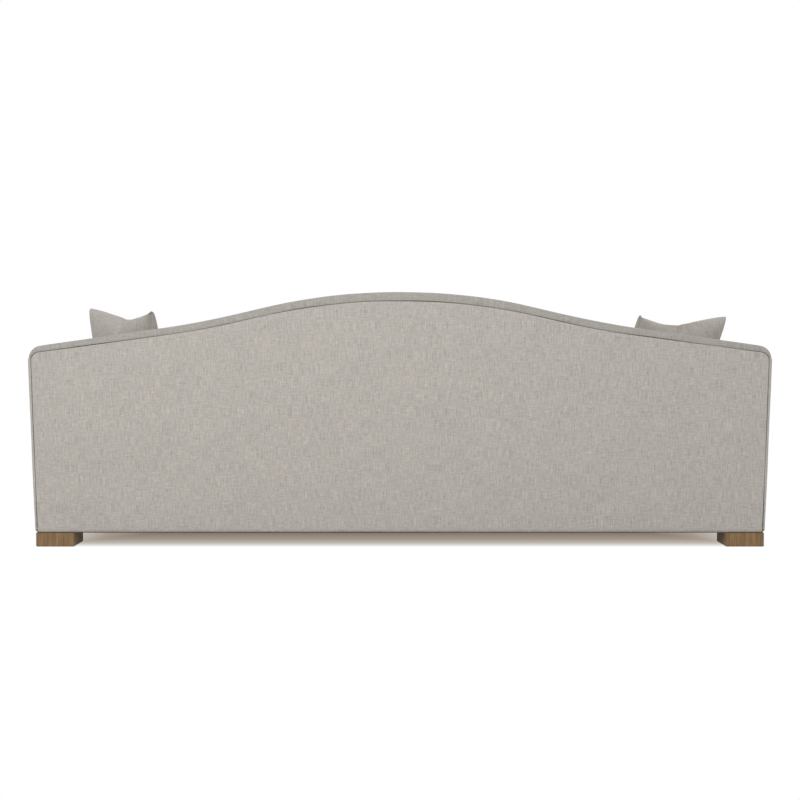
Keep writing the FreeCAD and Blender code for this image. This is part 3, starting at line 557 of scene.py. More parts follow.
def add_top_band():
    """The band from the outside back over the crown to the inside back."""
    s = shape()
    piece = start_piece("top_band")
    rear = [(s.top_seam - run, s.side_seam - run, depth)
            for run, depth in ((SEAM_GAP, s.seam_depth), (SEAM_LIP, s.seam_depth * LIP_SHARE))]
    side_crown = s.side_seam - 0.003
    inside = []
    strips = 6
    for i in range(strips + 1):
        angle = math.radians(90 * i / strips)
        left = 1 - math.sin(angle)
        done = 1 - math.cos(angle)
        rear.append((s.rear_crown * left, side_crown * left, s.rear_crown * done))
        inside.append((s.inside_crown * done, s.inside_crown * left))
    inside += [(s.inside_crown + run, depth) for run, depth in (EDGE_LIP, (EDGE_END, s.seam_depth))]
    spans = []
    for top, side, depth in rear:
        start, moves = camel(top, side, s.corner_radius - top * 0.5)
        span = trace(piece, start, moves, "xz", aside=-depth)
        lay(piece, span, lambda co: Vector((co.x, rear_y(co.z) + co.y, co.z)))
        lay(piece, span, lambda co: raise_seam(co, top))
        spans.append(span)
    middle = 4
    swell = 0.0015
    for i in range(1, middle):
        share = i / middle
        start, moves = camel(-swell * math.sin(math.pi * share), 0.0, s.corner_radius)
        span = trace(piece, start, moves, "xz")

        def between(co):
            back = rear_y(co.z) - s.rear_crown
            front = inside_y(co.z) + s.inside_crown
            return Vector((co.x, back + (front - back) * share, co.z))

        lay(piece, span, between)
        spans.append(span)
    least_corner = 0.004
    for inset, depth in inside:
        start, moves = camel(inset, inset, max(least_corner, s.corner_radius - inset))
        span = trace(piece, start, moves, "xz", aside=depth)
        lay(piece, span, lambda co: Vector((co.x, inside_y(co.z) + co.y, co.z)))
        spans.append(span)
    bridge(piece, *spans)
    lay_all(piece, settle)
    arm_z = 0.6
    middle_y = (rear_y(arm_z) + inside_y(arm_z)) / 2
    close_piece(piece, lambda place: place - Vector((place.x * 0.95, middle_y, place.z - 0.1)))
    finish_padded(piece, unevenness=0.0012, size=0.16, seed=5.0)
    # The band gets the darker linen, which paints shade on it
    dress(piece, "sofa_frame", "linen_band", ["back_top_band"])


def add_inside_back():
    """The padded panel of the inside back, from its seam under the crown to below the deck."""
    s = shape()
    piece = start_piece("inside_back")
    level = border_high.z - s.edge_front
    inset = s.inside_crown + EDGE_NEXT
    corner = 0.006
    rings = [(0.0, s.seam_depth), (EDGE_LIP[0], s.seam_depth * LIP_SHARE), (SEAM_ROLL, 0.0)]
    spans = []
    for run, depth in rings:
        start, moves = camel(inset + run, inset + run, corner)
        spans.append(trace(piece, start, moves, "xz", aside=depth))
    fill_down(piece, spans[2], level, s.rows)
    bridge(piece, *spans)
    lay_all(piece, lambda co: Vector((co.x, inside_y(co.z) + co.y, co.z)))
    lay_all(piece, settle)
    close_piece(piece, lambda place: Vector((0, -1, 0)))
    finish_padded(piece, unevenness=0.003, size=0.2, seed=8.0)
    dress(piece, "sofa_frame", "linen", ["inside_back_cover", "back_foam"])


# Covers of the arms

def arm_front_height():
    return end_level() - shape().arm_drop


def arm_line(inset, rear, steps=22):
    """Start and moves of the arm's top line in side view, from the front face to a place towards the rear."""
    s = shape()
    front = cad_low.y + inset
    top = arm_front_height() - inset
    radius = s.arm_nose - inset
    scoop_y = cad_low.y + s.arm_flat_run
    swing = math.degrees(math.asin((rear - scoop_y) / (s.arm_scoop + inset)))
    moves = [
        ("turn", (front + radius, top - radius), -90, 6),
        ("run", (1, 0), scoop_y - front - radius, 7),
        ("turn", (scoop_y, arm_front_height() + s.arm_scoop), swing, steps),
    ]
    return (front, top - radius), moves


def add_arm_side(name, face_x, direction, rear):
    """One side panel of the right arm with its rounded edge and the seam; direction is outwards in X."""
    s = shape()
    piece = start_piece(name)
    level = border_low.z + s.hem_radius if direction > 0 else border_low.z
    spans = []
    strips = 5
    radius = s.arm_edge
    for i in range(strips + 1):
        angle = math.radians(90 * i / strips)
        inset = radius * (1 - math.sin(angle))
        x = face_x - direction * radius * (1 - math.cos(angle))
        line = arm_line(inset, rear)
        if i:
            line = raised(*line, level, ARM_ROWS)
        spans.append(trace(piece, *line, "yz", aside=x))
    for run, depth in (EDGE_LIP, (EDGE_END, s.seam_depth)):
        x = face_x - direction * (radius + run)
        line = raised(*arm_line(depth, rear), level, ARM_ROWS)
        spans.append(trace(piece, *line, "yz", aside=x))
    sheet = fill_down(piece, spans[0], level, ARM_ROWS)
    front_y = cad_low.y + radius

    def on_edge(v):
        at_front = v.index >= sheet[0] and abs(v.co.y - front_y) < NEAR and abs(v.co.x - face_x) < NEAR
        return within(v, spans[0], spans[1]) or at_front

    pick(piece, on_edge)
    bpy.ops.mesh.bridge_edge_loops()
    bridge(piece, *spans[1:])
    return piece, level


def add_arm_band(inner_x, rear):
    """The band along the top and down the front of the right arm, between its two side panels."""
    s = shape()
    band = start_piece("right_arm_band_panel")
    low_x = inner_x + s.arm_edge + EDGE_NEXT
    high_x = half_width() - s.arm_edge - EDGE_NEXT
    middle = (low_x + high_x) / 2
    swell = 0.002
    rolls = [(0.0, s.seam_depth), EDGE_LIP, (SEAM_ROLL, 0.0)]
    places = [(low_x + run, depth) for run, depth in rolls]
    places += [(middle, -swell)]
    places += [(high_x - run, depth) for run, depth in reversed(rolls)]
    spans = []
    for x, depth in places:
        line = raised(*arm_line(depth, rear), border_low.z, ARM_ROWS)
        spans.append(trace(band, *line, "yz", aside=x))
    bridge(band, *spans)
    centre = Vector((middle, 0.1, 0.3))
    close_piece(band, lambda place: place - centre)
    finish_padded(band, unevenness=0.0012, size=0.12, seed=17.0)
    return band


def add_arms():
    """Both arms: the right one is drawn, and the left one is its mirrored copy."""
    s = shape()
    join = inside_y(end_level())
    face_x = half_width()
    outside, level = add_arm_side("right_arm_outside", face_x, 1, join)
    add_back_end(outside, join, level)
    pick(outside, lambda v: abs(v.co.z - level) < NEAR and v.co.x > face_x - NEAR)
    bpy.ops.mesh.spin(steps=4, angle=QUARTER, center=(face_x - s.hem_radius, 0, level), axis=(0, -1, 0))
    lay_all(outside, settle)
    close_piece(outside, lambda place: Vector((1, 0, 0)))
    finish_padded(outside, unevenness=0.0015, size=0.2, seed=11.0)

    inner_x = face_x - s.arm_width
    into_back = 0.05
    rear = join + into_back
    inside, level = add_arm_side("right_arm_inside", inner_x, -1, rear)
    close_piece(inside, lambda place: Vector((-1, 0, 0)))
    finish_padded(inside, unevenness=0.002, size=0.16, seed=13.0)
    band = add_arm_band(inner_x, rear)

    for right, part in ((outside, "outside"), (inside, "inside"), (band, "band")):
        left = mirror_copy(right, right.name.replace("right", "left"))
        for piece, side in ((right, "right"), (left, "left")):
            nodes = [f"{side}_arm_band"] if part == "band" else [f"{side}_arm_{part}_cover"]
            if part == "inside":
                nodes.append(f"{side}_arm_padding")
            # The arm bands get the darker linen, which paints shade on them
            material = "linen_band" if part == "band" else "linen"
            dress(piece, "sofa_frame", material, nodes)


def add_back_end(piece, join, level):
    """The strip that runs on behind the arm, over the end of the back and round its upright rear edge."""
    s = shape()
    top = end_level() - 0.0008
    seam_half = 0.0006
    corner = s.side_seam - seam_half
    rear = rear_y(top) - corner
    first = count(piece)
    span = trace(piece, (join, top), [("run", (1, 0), rear - join, 8)], "yz", aside=half_width())
    fill_down(piece, span, level, ARM_ROWS)
    pick(piece, lambda v: v.index >= first and abs(v.co.y - rear) < NEAR)
    centre = (half_width() - corner, rear, 0)
    bpy.ops.mesh.spin(steps=5, angle=QUARTER, center=centre, axis=(0, 0, -1))
    bpy.ops.mesh.extrude_region_move(TRANSFORM_OT_translate={"value": (-0.0004, -s.seam_depth, 0)})

    # A flap turns in behind the arm, so that no gap shows between the two
    flap = 0.06
    pick(piece, lambda v: v.index >= first and abs(v.co.y - join) < NEAR)
    bpy.ops.mesh.extrude_region_move(TRANSFORM_OT_translate={"value": (-flap, 0, 0)})

    def rake(co):
        share = min(1.0, max(0.0, (co.y - join) / (rear - join)))
        back = rear_y(top) - rear_y(co.z)
        return Vector((co.x, co.y - back * share, co.z))

    lay(piece, (first, count(piece)), rake)


# Border, deck and the cloth under the seat

def add_border():
    """The padded border under the front of the cushions, turned over the rail and under it."""
    s = shape()
    face = border_low.y
    rear = border_high.y
    top = border_high.z
    low = border_low.z
    radius = s.edge_front
    hem = s.hem_radius
    width = half_width() - s.arm_width
    piece = start_piece("front_border")
    moves = [
        ("turn", (face + hem, low + hem), -90, 4),
        ("run", (0, 1), top - radius - low - hem, 10),
        ("turn", (face + radius, top - radius), -90, 6),
        ("run", (1, 0), rear - 0.002 - face - radius, 5),
        ("run", (0.35, -1), 0.005, 1),
    ]
    trace(piece, (face + hem, low), moves, "yz", aside=-width)
    bpy.ops.mesh.select_all(action="SELECT")
    columns = 60
    for _ in range(columns):
        bpy.ops.mesh.extrude_region_move(TRANSFORM_OT_translate={"value": (2 * width / columns, 0, 0)})
    middle = Vector((0, rear, (top + low) / 2))
    close_piece(piece, lambda place: Vector((0, place.y - middle.y, place.z - middle.z)))
    ripple(piece, amount=0.003, size=0.17, seed=19.0)
    finish_sheet(piece)
    dress(piece, "sofa_frame", "linen", ["front_border_cover", "front_border_pad"])


def add_deck():
    """The plain cloth under the cushions, a little hollow between the rails."""
    low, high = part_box("deck_cover")
    centre = (low + high) / 2
    turned_down = 0.012
    deck = start_grid("deck", 48, 12, high - low, (centre.x, centre.y, high.z))
    bpy.ops.mesh.region_to_loop()
    bpy.ops.mesh.extrude_region_move(TRANSFORM_OT_translate={"value": (0, 0, -turned_down)})
    close_piece(deck, lambda place: Vector((0, 0, 1)))
    sag(deck, depth=0.004)
    finish_sheet(deck)
    dress(deck, "sofa_frame", "deck_cloth", ["deck_cover", "deck_pad"])


def sag(piece, depth):
    """Lowers the middle of a level sheet."""
    low, high = corners(piece)
    for vertex in piece.data.vertices:
        u = (vertex.co.x - low.x) / (high.x - low.x)
        v = (vertex.co.y - low.y) / (high.y - low.y)
        vertex.co.z -= depth * math.sin(math.pi * u) * math.sin(math.pi * v)


def add_dust_cover():
    """The thin cloth stretched under the seat box."""
    low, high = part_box("dust_cover")
    size = high - low
    centre = (low + high) / 2
    under_frame = 0.0012
    cloth = start_grid("dust_cloth", 40, 14, size, (centre.x, centre.y, high.z - under_frame))
    close_piece(cloth, lambda place: Vector((0, 0, -1)))
    thicken(cloth, thickness=0.001)
    dress(cloth, "sofa_frame", "black_cloth", ["dust_cover"])


# Loose cushions and pillows

def fill_with_pressure(piece, pressure, frames, stiffness, bending, cap=None, pinned=None):
    """Puffs a closed cloth shape with Blender's cloth and keeps the result in its mesh."""
    before = [v.co.copy() for v in piece.data.vertices]
    select_only(piece)
    modifier = piece.modifiers.new("Filling", "CLOTH")
    cloth = modifier.settings
    cloth.quality = 8
    cloth.mass = 0.3
    cloth.tension_stiffness = stiffness
    cloth.compression_stiffness = stiffness
    cloth.shear_stiffness = 5
    cloth.bending_stiffness = bending
    cloth.use_pressure = True
    cloth.uniform_pressure_force = pressure
    cloth.effector_weights.gravity = 0
    if pinned:
        cloth.vertex_group_mass = pinned
    modifier.point_cache.frame_end = frames
    scene = bpy.context.scene
    for number in range(1, frames + 1):
        scene.frame_set(number)
    bpy.ops.object.modifier_apply(modifier=modifier.name)
    scene.frame_set(1)
    if cap:
        for vertex, start in zip(piece.data.vertices, before):
            move = vertex.co - start
            if move.length > cap:
                vertex.co = start + move * (cap / move.length)


def add_cushion_shape():
    """One boxed cushion in place in the middle: top panel, border and base, with its seams as edges."""
    c = bpy.context.scene.sofa_cushions
    size = cushion_high - cushion_low
    centre = (cushion_low + cushion_high) / 2
    top = cushion_high.z - c.crown
    low = cushion_low.z
    cuts = 30
    piece = start_grid("centre_seat_cushion", cuts, cuts, size, (0, centre.y, top))
    bpy.ops.mesh.region_to_loop()
    border_rows = 7
    for _ in range(border_rows):
        bpy.ops.mesh.extrude_region_move(TRANSFORM_OT_translate={"value": (0, 0, (low - top) / border_rows)})
    pick(piece, lambda v: v.index < (cuts + 1) ** 2)
    bpy.ops.mesh.duplicate_move(TRANSFORM_OT_translate={"value": (0, 0, low - top)})
    bpy.ops.mesh.flip_normals()
    close_shape(merge=0.0005)
    half = Vector((size.x / 2, size.y / 2))
    for vertex in piece.data.vertices:
        vertex.co = cushion_place(vertex.co, centre, half, top, low)
    return piece, top, low, centre, half


def cushion_place(co, centre, half, top, low):
    """Rounds the corners in plan, draws the sides in and raises the crown."""
    c = bpy.context.scene.sofa_cushions
    x = co.x - centre.x
    y = co.y - centre.y
    corner = c.corner
    ax = abs(x) - (half.x - corner)
    ay = abs(y) - (half.y - corner)
    if ax > 0 and ay > 0:
        reach = max(ax, ay)
        length = math.hypot(ax, ay)
        x = math.copysign(half.x - corner + ax * reach / length, x)
        y = math.copysign(half.y - corner + ay * reach / length, y)
    u = x / half.x
    v = y / half.y
    draw_in = 0.004
    x -= math.copysign(draw_in, x) * abs(u) ** 3 * (1 - v * v)
    y -= math.copysign(draw_in, y) * abs(v) ** 3 * (1 - u * u)
    edge = max(abs(u), abs(v))
    level = 0.0005
    at_top = abs(co.z - top) < level
    at_base = abs(co.z - low) < level
    flatness = 2.2
    lift = c.crown * (1 - edge ** flatness) if at_top else 0.0
    inward = draw_in if edge > 0.999 and (at_base or at_top) else 0.0
    return Vector((centre.x + x * (1 - inward), centre.y + y * (1 - inward), co.z + lift))


def add_seat_cushions():
    """Three boxed cushions off one pattern, filled and then each a little different on top."""
    c = bpy.context.scene.sofa_cushions
    piece, top, low, centre, half = add_cushion_shape()

    def at_seam(co, reach):
        edge = max(abs(co.x - centre.x) / half.x, abs(co.y - centre.y) / half.y)
        return edge > 0.985 and (abs(co.z - top) < reach or abs(co.z - low) < reach)

    group = piece.vertex_groups.new(name="held")
    held = [vertex.index for vertex in piece.data.vertices
            if at_seam(vertex.co, 0.002) or vertex.co.z < low + 0.001]
    group.add(held, 1.0, "REPLACE")
    fill_with_pressure(
        piece, pressure=2.5, frames=14, stiffness=20, bending=4, cap=c.puff, pinned="held")
    seam_pull = 0.0025
    lump, lump_size = 0.004, 0.19
    for vertex in piece.data.vertices:
        if at_seam(vertex.co, 0.003):
            inward = Vector((centre.x - vertex.co.x, centre.y - vertex.co.y, 0)).normalized()
            vertex.co += inward * seam_pull
    smooth(piece, 1)
    piece.vertex_groups.clear()
    bpy.ops.object.shade_smooth_by_angle(angle=CREASE)
    cushions = {"centre": piece}
    for side in ("left", "right"):
        cushions[side] = copy_piece(piece, f"{side}_seat_cushion")
    for side, copy in cushions.items():
        low_corner, high_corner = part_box(f"{side}_seat_cushion_cover")
        shift = (low_corner.x + high_corner.x) / 2
        for vertex in copy.data.vertices:
            wave = noise.noise(vertex.co / lump_size + Vector((shift * 7, 2.0, 4.0)))
            vertex.co += Vector((shift, 0, lump * wave * (vertex.co.z > low + 0.02)))
        nodes = [f"{side}_seat_cushion_cover", f"{side}_seat_cushion_core"]
        dress(copy, f"{side}_seat_cushion", "linen", nodes)


def add_pillow_shape(name, seed):
    """A knife-edge pillow about its own middle, its top edge towards +Y, filled until it is tight."""
    c = bpy.context.scene.sofa_cushions
    width, height, start = c.pillow_flat
    piece = start_grid(name, 30, 30, (width, height), (0, 0, 0))
    bpy.ops.mesh.duplicate_move(TRANSFORM_OT_translate={"value": (0, 0, -0.001)})
    bpy.ops.mesh.flip_normals()
    bpy.ops.object.mode_set(mode="OBJECT")
    shift = Vector((seed, 0, 0))
    lump, lumps_per_metre = 0.003, 14
    flat = piece.data.attributes.new("flat", "FLOAT_VECTOR", "POINT")
    for vertex in piece.data.vertices:
        u = vertex.co.x / (width / 2)
        v = vertex.co.y / (height / 2)
        flat.data[vertex.index].vector = (u, v, 0)
        lift = start * math.sqrt(max(0.0, (1 - u * u) * (1 - v * v)))
        side = -1 if vertex.co.z < -0.0005 else 1
        vertex.co.z = side * lift
        vertex.co.z += lump * noise.noise(vertex.co * lumps_per_metre + shift) * (lift > 0)
    bpy.ops.object.mode_set(mode="EDIT")
    close_shape(merge=0.0001)
    fill_with_pressure(piece, pressure=6.0, frames=40, stiffness=15, bending=0.5)
    smooth(piece, 2)
    low, high = corners(piece)
    middle = (low + high) / 2
    scale = [c.pillow_full[i] / (high[i] - low[i]) for i in range(3)]
    for vertex in piece.data.vertices:
        vertex.co = Vector([(vertex.co[i] - middle[i]) * scale[i] for i in range(3)])
    draw_out_ears(piece)
    return piece


def draw_out_ears(piece):
    """Draws the four ears out to the corners, and evens the bow of the sewn edges between them."""
    half = Vector(bpy.context.scene.sofa_cushions.pillow_full) / 2
    bow = 0.034
    slant = 0.6      # the ends bow more on one side than on the other
    swell = 1.4
    sharpness = 8    # how narrow the evened rim is
    flat = [Vector(item.vector) for item in piece.data.attributes["flat"].data]
    moves = []
    for side in (-1, 1):
        for end in (-1, 1):
            ear = max(range(len(flat)), key=lambda i: side * flat[i].x + end * flat[i].y)
            move = Vector((side * half.x, end * half.y, 0)) - piece.data.vertices[ear].co
            moves.append((side, end, move))
    for vertex, place in zip(piece.data.vertices, flat):
        u, v = place.x, place.y
        for side, end, move in moves:
            vertex.co += move * ((1 + side * u) * (1 + end * v) / 4)
        fullness = 1 - (1 - min(1.0, abs(vertex.co.z) / half.z)) ** swell
        vertex.co.z = math.copysign(fullness * half.z, vertex.co.z)
        side_edge = math.copysign(half.x - bow * (1 - v * v), u)
        end_edge = math.copysign(half.y - bow * (1 - u * u) * (1 - slant * u), v)
        vertex.co.x += (side_edge - vertex.co.x) * abs(u) ** sharpness
        vertex.co.y += (end_edge - vertex.co.y) * abs(v) ** sharpness


def pillow_place(offsets, turn, mirrored):
    """Matrix from a pillow's own middle to its corner of the sofa, leaning back into the corner."""
    c = bpy.context.scene.sofa_cushions
    from_arm, from_back, sink = offsets
    yaw, lean, roll = (math.radians(angle) for angle in turn)
    width, height, _ = c.pillow_full
    along = Vector((math.cos(yaw), -math.sin(yaw), 0))
    to_corner = Vector((math.sin(yaw), math.cos(yaw), 0))
    up = to_corner * math.sin(lean) + Vector((0, 0, math.cos(lean)))
    rearward = to_corner * math.cos(lean) - Vector((0, 0, math.sin(lean)))
    rolled_along = along * math.cos(roll) + up * math.sin(roll)
    rolled_up = up * math.cos(roll) - along * math.sin(roll)
    low_ear = cushion_high.z - sink
    middle_z = low_ear + (width * abs(rolled_along.z) + height * rolled_up.z) / 2
    top_z = middle_z + rolled_up.z * height / 2
    top_middle = Vector((half_width() - shape().arm_width - from_arm, inside_chord(top_z) - from_back, 0))
    centre = top_middle - rolled_up * (height / 2)
    centre.z = middle_z
    turn_matrix = Matrix((rolled_along, rolled_up, rearward)).transposed().to_4x4()
    place = Matrix.Translation(centre) @ turn_matrix
    if mirrored:
        place = Matrix.Diagonal((-1, 1, 1, 1)) @ place
    return place


def add_pillows():
    """A pillow in each corner of the seat."""
    c = bpy.context.scene.sofa_cushions
    pillows = [("right", c.right_pillow, c.right_turn, 1.0), ("left", c.left_pillow, c.left_turn, 4.0)]
    for side, offsets, turn, seed in pillows:
        piece = add_pillow_shape(f"{side}_pillow", seed)
        mirrored = side == "left"
        piece.data.transform(pillow_place(offsets, turn, mirrored))
        if mirrored:
            piece.data.flip_normals()
        select_only(piece)
        bpy.ops.object.shade_smooth()
        nodes = [f"{side}_pillow_cover", f"{side}_pillow_filling"]
        dress(piece, f"{side}_pillow", "pillow_linen", nodes)


# Materials

def new_group(name, inputs, outputs):
    """A node group with named sockets; returns it with its input and output nodes."""
    group = bpy.data.node_groups.new(name, "ShaderNodeTree")
    for label, kind, default in inputs:
        socket = group.interface.new_socket(label, in_out="INPUT", socket_type=kind)
        if default is not None:
            socket.default_value = default
    for label, kind in outputs:
        group.interface.new_socket(label, in_out="OUTPUT", socket_type=kind)
    nodes = group.nodes
    return group, nodes.new("NodeGroupInput"), nodes.new("NodeGroupOutput")


def feed(tree, target, inputs):
    """Sets inputs of a node to values, or links them to sockets."""
    for key, value in inputs.items():
        if isinstance(value, bpy.types.NodeSocket):
            tree.links.new(value, target.inputs[key])
        else:
            target.inputs[key].default_value = value


def node(tree, kind, inputs=None, **settings):
    """A new node with its settings and inputs."""
    made = tree.nodes.new(kind)
    for key, value in settings.items():
        setattr(made, key, value)
    feed(tree, made, inputs or {})
    return made


def maths(tree, operation, first, second=0.0):
    return node(tree, "ShaderNodeMath", {0: first, 1: second}, operation=operation).outputs[0]


def streaks(tree, vector, scale, detail, roughness):
    """Noise drawn out along the axis with the smallest scale."""
    stretched = node(tree, "ShaderNodeMapping", {"Vector": vector, "Scale": scale})
    value = {"Vector": stretched.outputs[0], "Scale": 1.0, "Detail": detail, "Roughness": roughness}
    return node(tree, "ShaderNodeTexNoise", value).outputs[0]


def blend(tree, factor, first, second):
    """A colour between two; 6, 7 and 2 are the colour sockets of the node."""
    mix = node(tree, "ShaderNodeMix", {"Factor": factor, 6: first, 7: second}, data_type="RGBA")
    return mix.outputs[2]


def make_weave_group():
    """Plain linen weave with slubs both ways: colour factor and height from a map in metres."""
    group, source, sink = new_group("slubbed_linen", [
        ("Vector", "NodeSocketVector", None), ("Colour", "NodeSocketColor", (0.5, 0.5, 0.5, 1)),
        ("Slub", "NodeSocketFloat", 0.5), ("Threads", "NodeSocketFloat", 900.0)], [
        ("Colour", "NodeSocketColor"), ("Height", "NodeSocketFloat")])
    vector = source.outputs["Vector"]
    upright = streaks(group, vector, (330.0, 20.0, 1.0), detail=2.0, roughness=0.6)
    level = streaks(group, vector, (20.0, 330.0, 1.0), detail=2.0, roughness=0.6)
    fine_upright = streaks(group, vector, (900.0, 60.0, 1.0), detail=1.0, roughness=0.6)
    fine_level = streaks(group, vector, (60.0, 900.0, 1.0), detail=1.0, roughness=0.6)
    broad = node(group, "ShaderNodeTexNoise", {"Vector": vector, "Scale": 7.0, "Detail": 3.0}).outputs[0]
    more_upright = maths(group, "MULTIPLY", upright, 1.2)
    less_level = maths(group, "MULTIPLY", level, 0.8)
    slubs = maths(group, "ADD", more_upright, less_level)
    mixed = maths(group, "ADD", slubs, maths(group, "ADD", fine_upright, fine_level))
    centred = maths(group, "SUBTRACT", mixed, 2.0)
    strong = maths(group, "MULTIPLY", centred, source.outputs["Slub"])
    cloudy = maths(group, "MULTIPLY", maths(group, "SUBTRACT", broad, 0.5), 0.10)
    factor = maths(group, "ADD", maths(group, "ADD", strong, cloudy), 1.0)
    colour = node(group, "ShaderNodeVectorMath", {0: source.outputs["Colour"]}, operation="SCALE")
    group.links.new(factor, colour.inputs["Scale"])
    parts = node(group, "ShaderNodeSeparateXYZ", {"Vector": vector})
    turns = maths(group, "MULTIPLY", source.outputs["Threads"], 2 * math.pi)
    warp = maths(group, "SINE", maths(group, "MULTIPLY", parts.outputs[0], turns))
    weft = maths(group, "SINE", maths(group, "MULTIPLY", parts.outputs[1], turns))
    crossing = maths(group, "MULTIPLY", warp, weft)
    height = maths(group, "ADD", maths(group, "MULTIPLY", crossing, 0.35), mixed)
    feed(group, sink, {"Colour": colour.outputs[0], "Height": height})


def make_grain_group():
    """Straight oak grain with open pores, from a vector whose third axis runs along the grain."""
    group, source, sink = new_group("oak_grain", [
        ("Vector", "NodeSocketVector", None), ("Colour", "NodeSocketColor", (0.5, 0.4, 0.3, 1)),
        ("Dark", "NodeSocketColor", (0.1, 0.06, 0.03, 1))], [
        ("Colour", "NodeSocketColor"), ("Height", "NodeSocketFloat")])
    vector = source.outputs["Vector"]
    bands = streaks(group, vector, (45.0, 45.0, 3.0), detail=3.0, roughness=0.65)
    lines = streaks(group, vector, (240.0, 240.0, 9.0), detail=4.0, roughness=0.65)
    pores = streaks(group, vector, (700.0, 700.0, 30.0), detail=2.0, roughness=0.65)
    deep = node(group, "ShaderNodeMapRange", {"Value": pores, "From Min": 0.36, "From Max": 0.5}).outputs[0]
    tone = maths(group, "ADD", maths(group, "MULTIPLY", bands, 0.9), maths(group, "MULTIPLY", lines, 0.9))
    spread = node(group, "ShaderNodeMapRange", {"Value": tone, "From Min": 0.72, "From Max": 1.08}).outputs[0]
    pored = maths(group, "ADD", maths(group, "MULTIPLY", deep, 0.35), 0.65)
    both = maths(group, "MULTIPLY", spread, pored)
    colour = blend(group, both, source.outputs["Dark"], source.outputs["Colour"])
    feed(group, sink, {"Colour": colour, "Height": deep})


def new_material(name):
    """The tree and the principled shader of a material of that name."""
    material = bpy.data.materials.get(name)
    if material is None:
        material = bpy.data.materials.new(name)
    material.use_nodes = True
    tree = material.node_tree
    tree.nodes.clear()
    shader = tree.nodes.new("ShaderNodeBsdfPrincipled")
    node(tree, "ShaderNodeOutputMaterial", {"Surface": shader.outputs[0]})
    return tree, shader


def bump(tree, height, distance, strength):
    made = node(tree, "ShaderNodeBump", {"Height": height, "Distance": distance, "Strength": strength})
    return made.outputs[0]


def make_linen(name, colour, slub, threads):
    """Linen of a mean colour, on the cloth map."""
    tree, shader = new_material(name)
    place = tree.nodes.new("ShaderNodeUVMap")
    weave = node(tree, "ShaderNodeGroup", node_tree=bpy.data.node_groups["slubbed_linen"])
    feed(tree, weave, {
        "Vector": place.outputs[0], "Colour": (*colour, 1), "Slub": slub, "Threads": threads})
    feed(tree, shader, {
        "Base Color": weave.outputs["Colour"], "Roughness": 0.92, "Specular IOR Level": 0.2,
        "Sheen Weight": 0.12, "Sheen Roughness": 0.5,
        "Normal": bump(tree, weave.outputs["Height"], distance=0.0006, strength=0.6)})


def make_oak(name, colour):
    """Wood of a mean colour, its grain along the object's Z axis."""
    tree, shader = new_material(name)
    place = tree.nodes.new("ShaderNodeTexCoord")
    grain = node(tree, "ShaderNodeGroup", node_tree=bpy.data.node_groups["oak_grain"])
    feed(tree, grain, {
        "Vector": place.outputs["Object"], "Colour": (*colour, 1), "Dark": (*[c * 0.42 for c in colour], 1)})
    feed(tree, shader, {
        "Base Color": grain.outputs["Colour"], "Roughness": 0.58,
        "Normal": bump(tree, grain.outputs["Height"], distance=0.0004, strength=0.5)})


PLAIN_FINISHES = [
    # name, colour, roughness, fineness of the mottling, its depth, metallic, stretch
    ("zip", (0.34, 0.32, 0.29), 0.8, 900.0, 0.25),
    ("steel", (0.62, 0.62, 0.64), 0.35, 300.0, 0.1, 1.0),
    ("webbing", (0.03, 0.028, 0.026), 0.9, 600.0, 0.4, 0.0, (1, 4, 1)),
    ("board", (0.32, 0.22, 0.13), 0.85, 400.0, 0.2),
    ("black_cloth", (0.02, 0.02, 0.02), 0.95, 1500.0, 0.4),
    ("deck_cloth", (0.40, 0.38, 0.35), 0.95, 1200.0, 0.12),
    ("foam", (0.76, 0.68, 0.45), 0.95, 500.0, 0.12),
    ("wadding", (0.8, 0.78, 0.74), 0.95, 120.0, 0.1),
    ("filling", (0.85, 0.83, 0.8), 0.95, 90.0, 0.1),
]


def make_plain(name, colour, roughness, scale, depth, metallic=0.0, stretch=(1.0, 1.0, 1.0)):
    """A mottled finish on object coordinates, for the layers inside and for the fixings."""
    tree, shader = new_material(name)
    place = tree.nodes.new("ShaderNodeTexCoord")
    drawn = node(tree, "ShaderNodeMapping", {"Vector": place.outputs["Object"], "Scale": stretch})
    spots = node(tree, "ShaderNodeTexNoise", {"Vector": drawn.outputs[0], "Scale": scale, "Detail": 4.0})
    dark = (*[c * (1 - depth) for c in colour], 1)
    light = (*[min(1.0, c * (1 + depth)) for c in colour], 1)
    feed(tree, shader, {
        "Base Color": blend(tree, spots.outputs[0], dark, light), "Roughness": roughness,
        "Metallic": metallic, "Normal": bump(tree, spots.outputs[0], distance=0.0005, strength=0.3)})


def make_materials():
    finish = bpy.context.scene.sofa_finish
    make_weave_group()
    make_grain_group()
    band_painted_shade = 0.79    # painted shade: the band lies in a paler light than the panel under it, so it gets the panel's linen darkened
    band = [c * band_painted_shade for c in finish.linen]
    cloths = [("linen", finish.linen), ("linen_band", band), ("pillow_linen", finish.pillow_linen)]
    for name, colour in cloths:
        make_linen(name, colour, finish.slub, 1 / finish.thread)
    make_oak("oak", finish.oak)
    make_oak("beech", (0.56, 0.38, 0.22))
    for finish_values in PLAIN_FINISHES:
        make_plain(*finish_values)


def paint_frame():
    """Gives every CAD node the finish of its slot in the record."""
    slots = {part["node"]: part["material_slot"] for part in frame["record"]["subparts"]}
    for name, part in frame["nodes"].items():
        part.data.materials.clear()
        part.data.materials.append(bpy.data.materials[slots[name]])


# Studio

def show_to_eye(tree, output, light, seen):
    """One shader for the light that is sent on, and another for what the eye sees."""
    path = tree.nodes.new("ShaderNodeLightPath")
    straight = maths(tree, "MAXIMUM", path.outputs["Is Camera Ray"], path.outputs["Is Glossy Ray"])
    to_eye = maths(tree, "MAXIMUM", straight, path.outputs["Is Transmission Ray"])
    mix = node(tree, "ShaderNodeMixShader", {0: to_eye, 1: light.outputs[0], 2: seen.outputs[0]})
    tree.links.new(mix.outputs[0], output.inputs["Surface"])


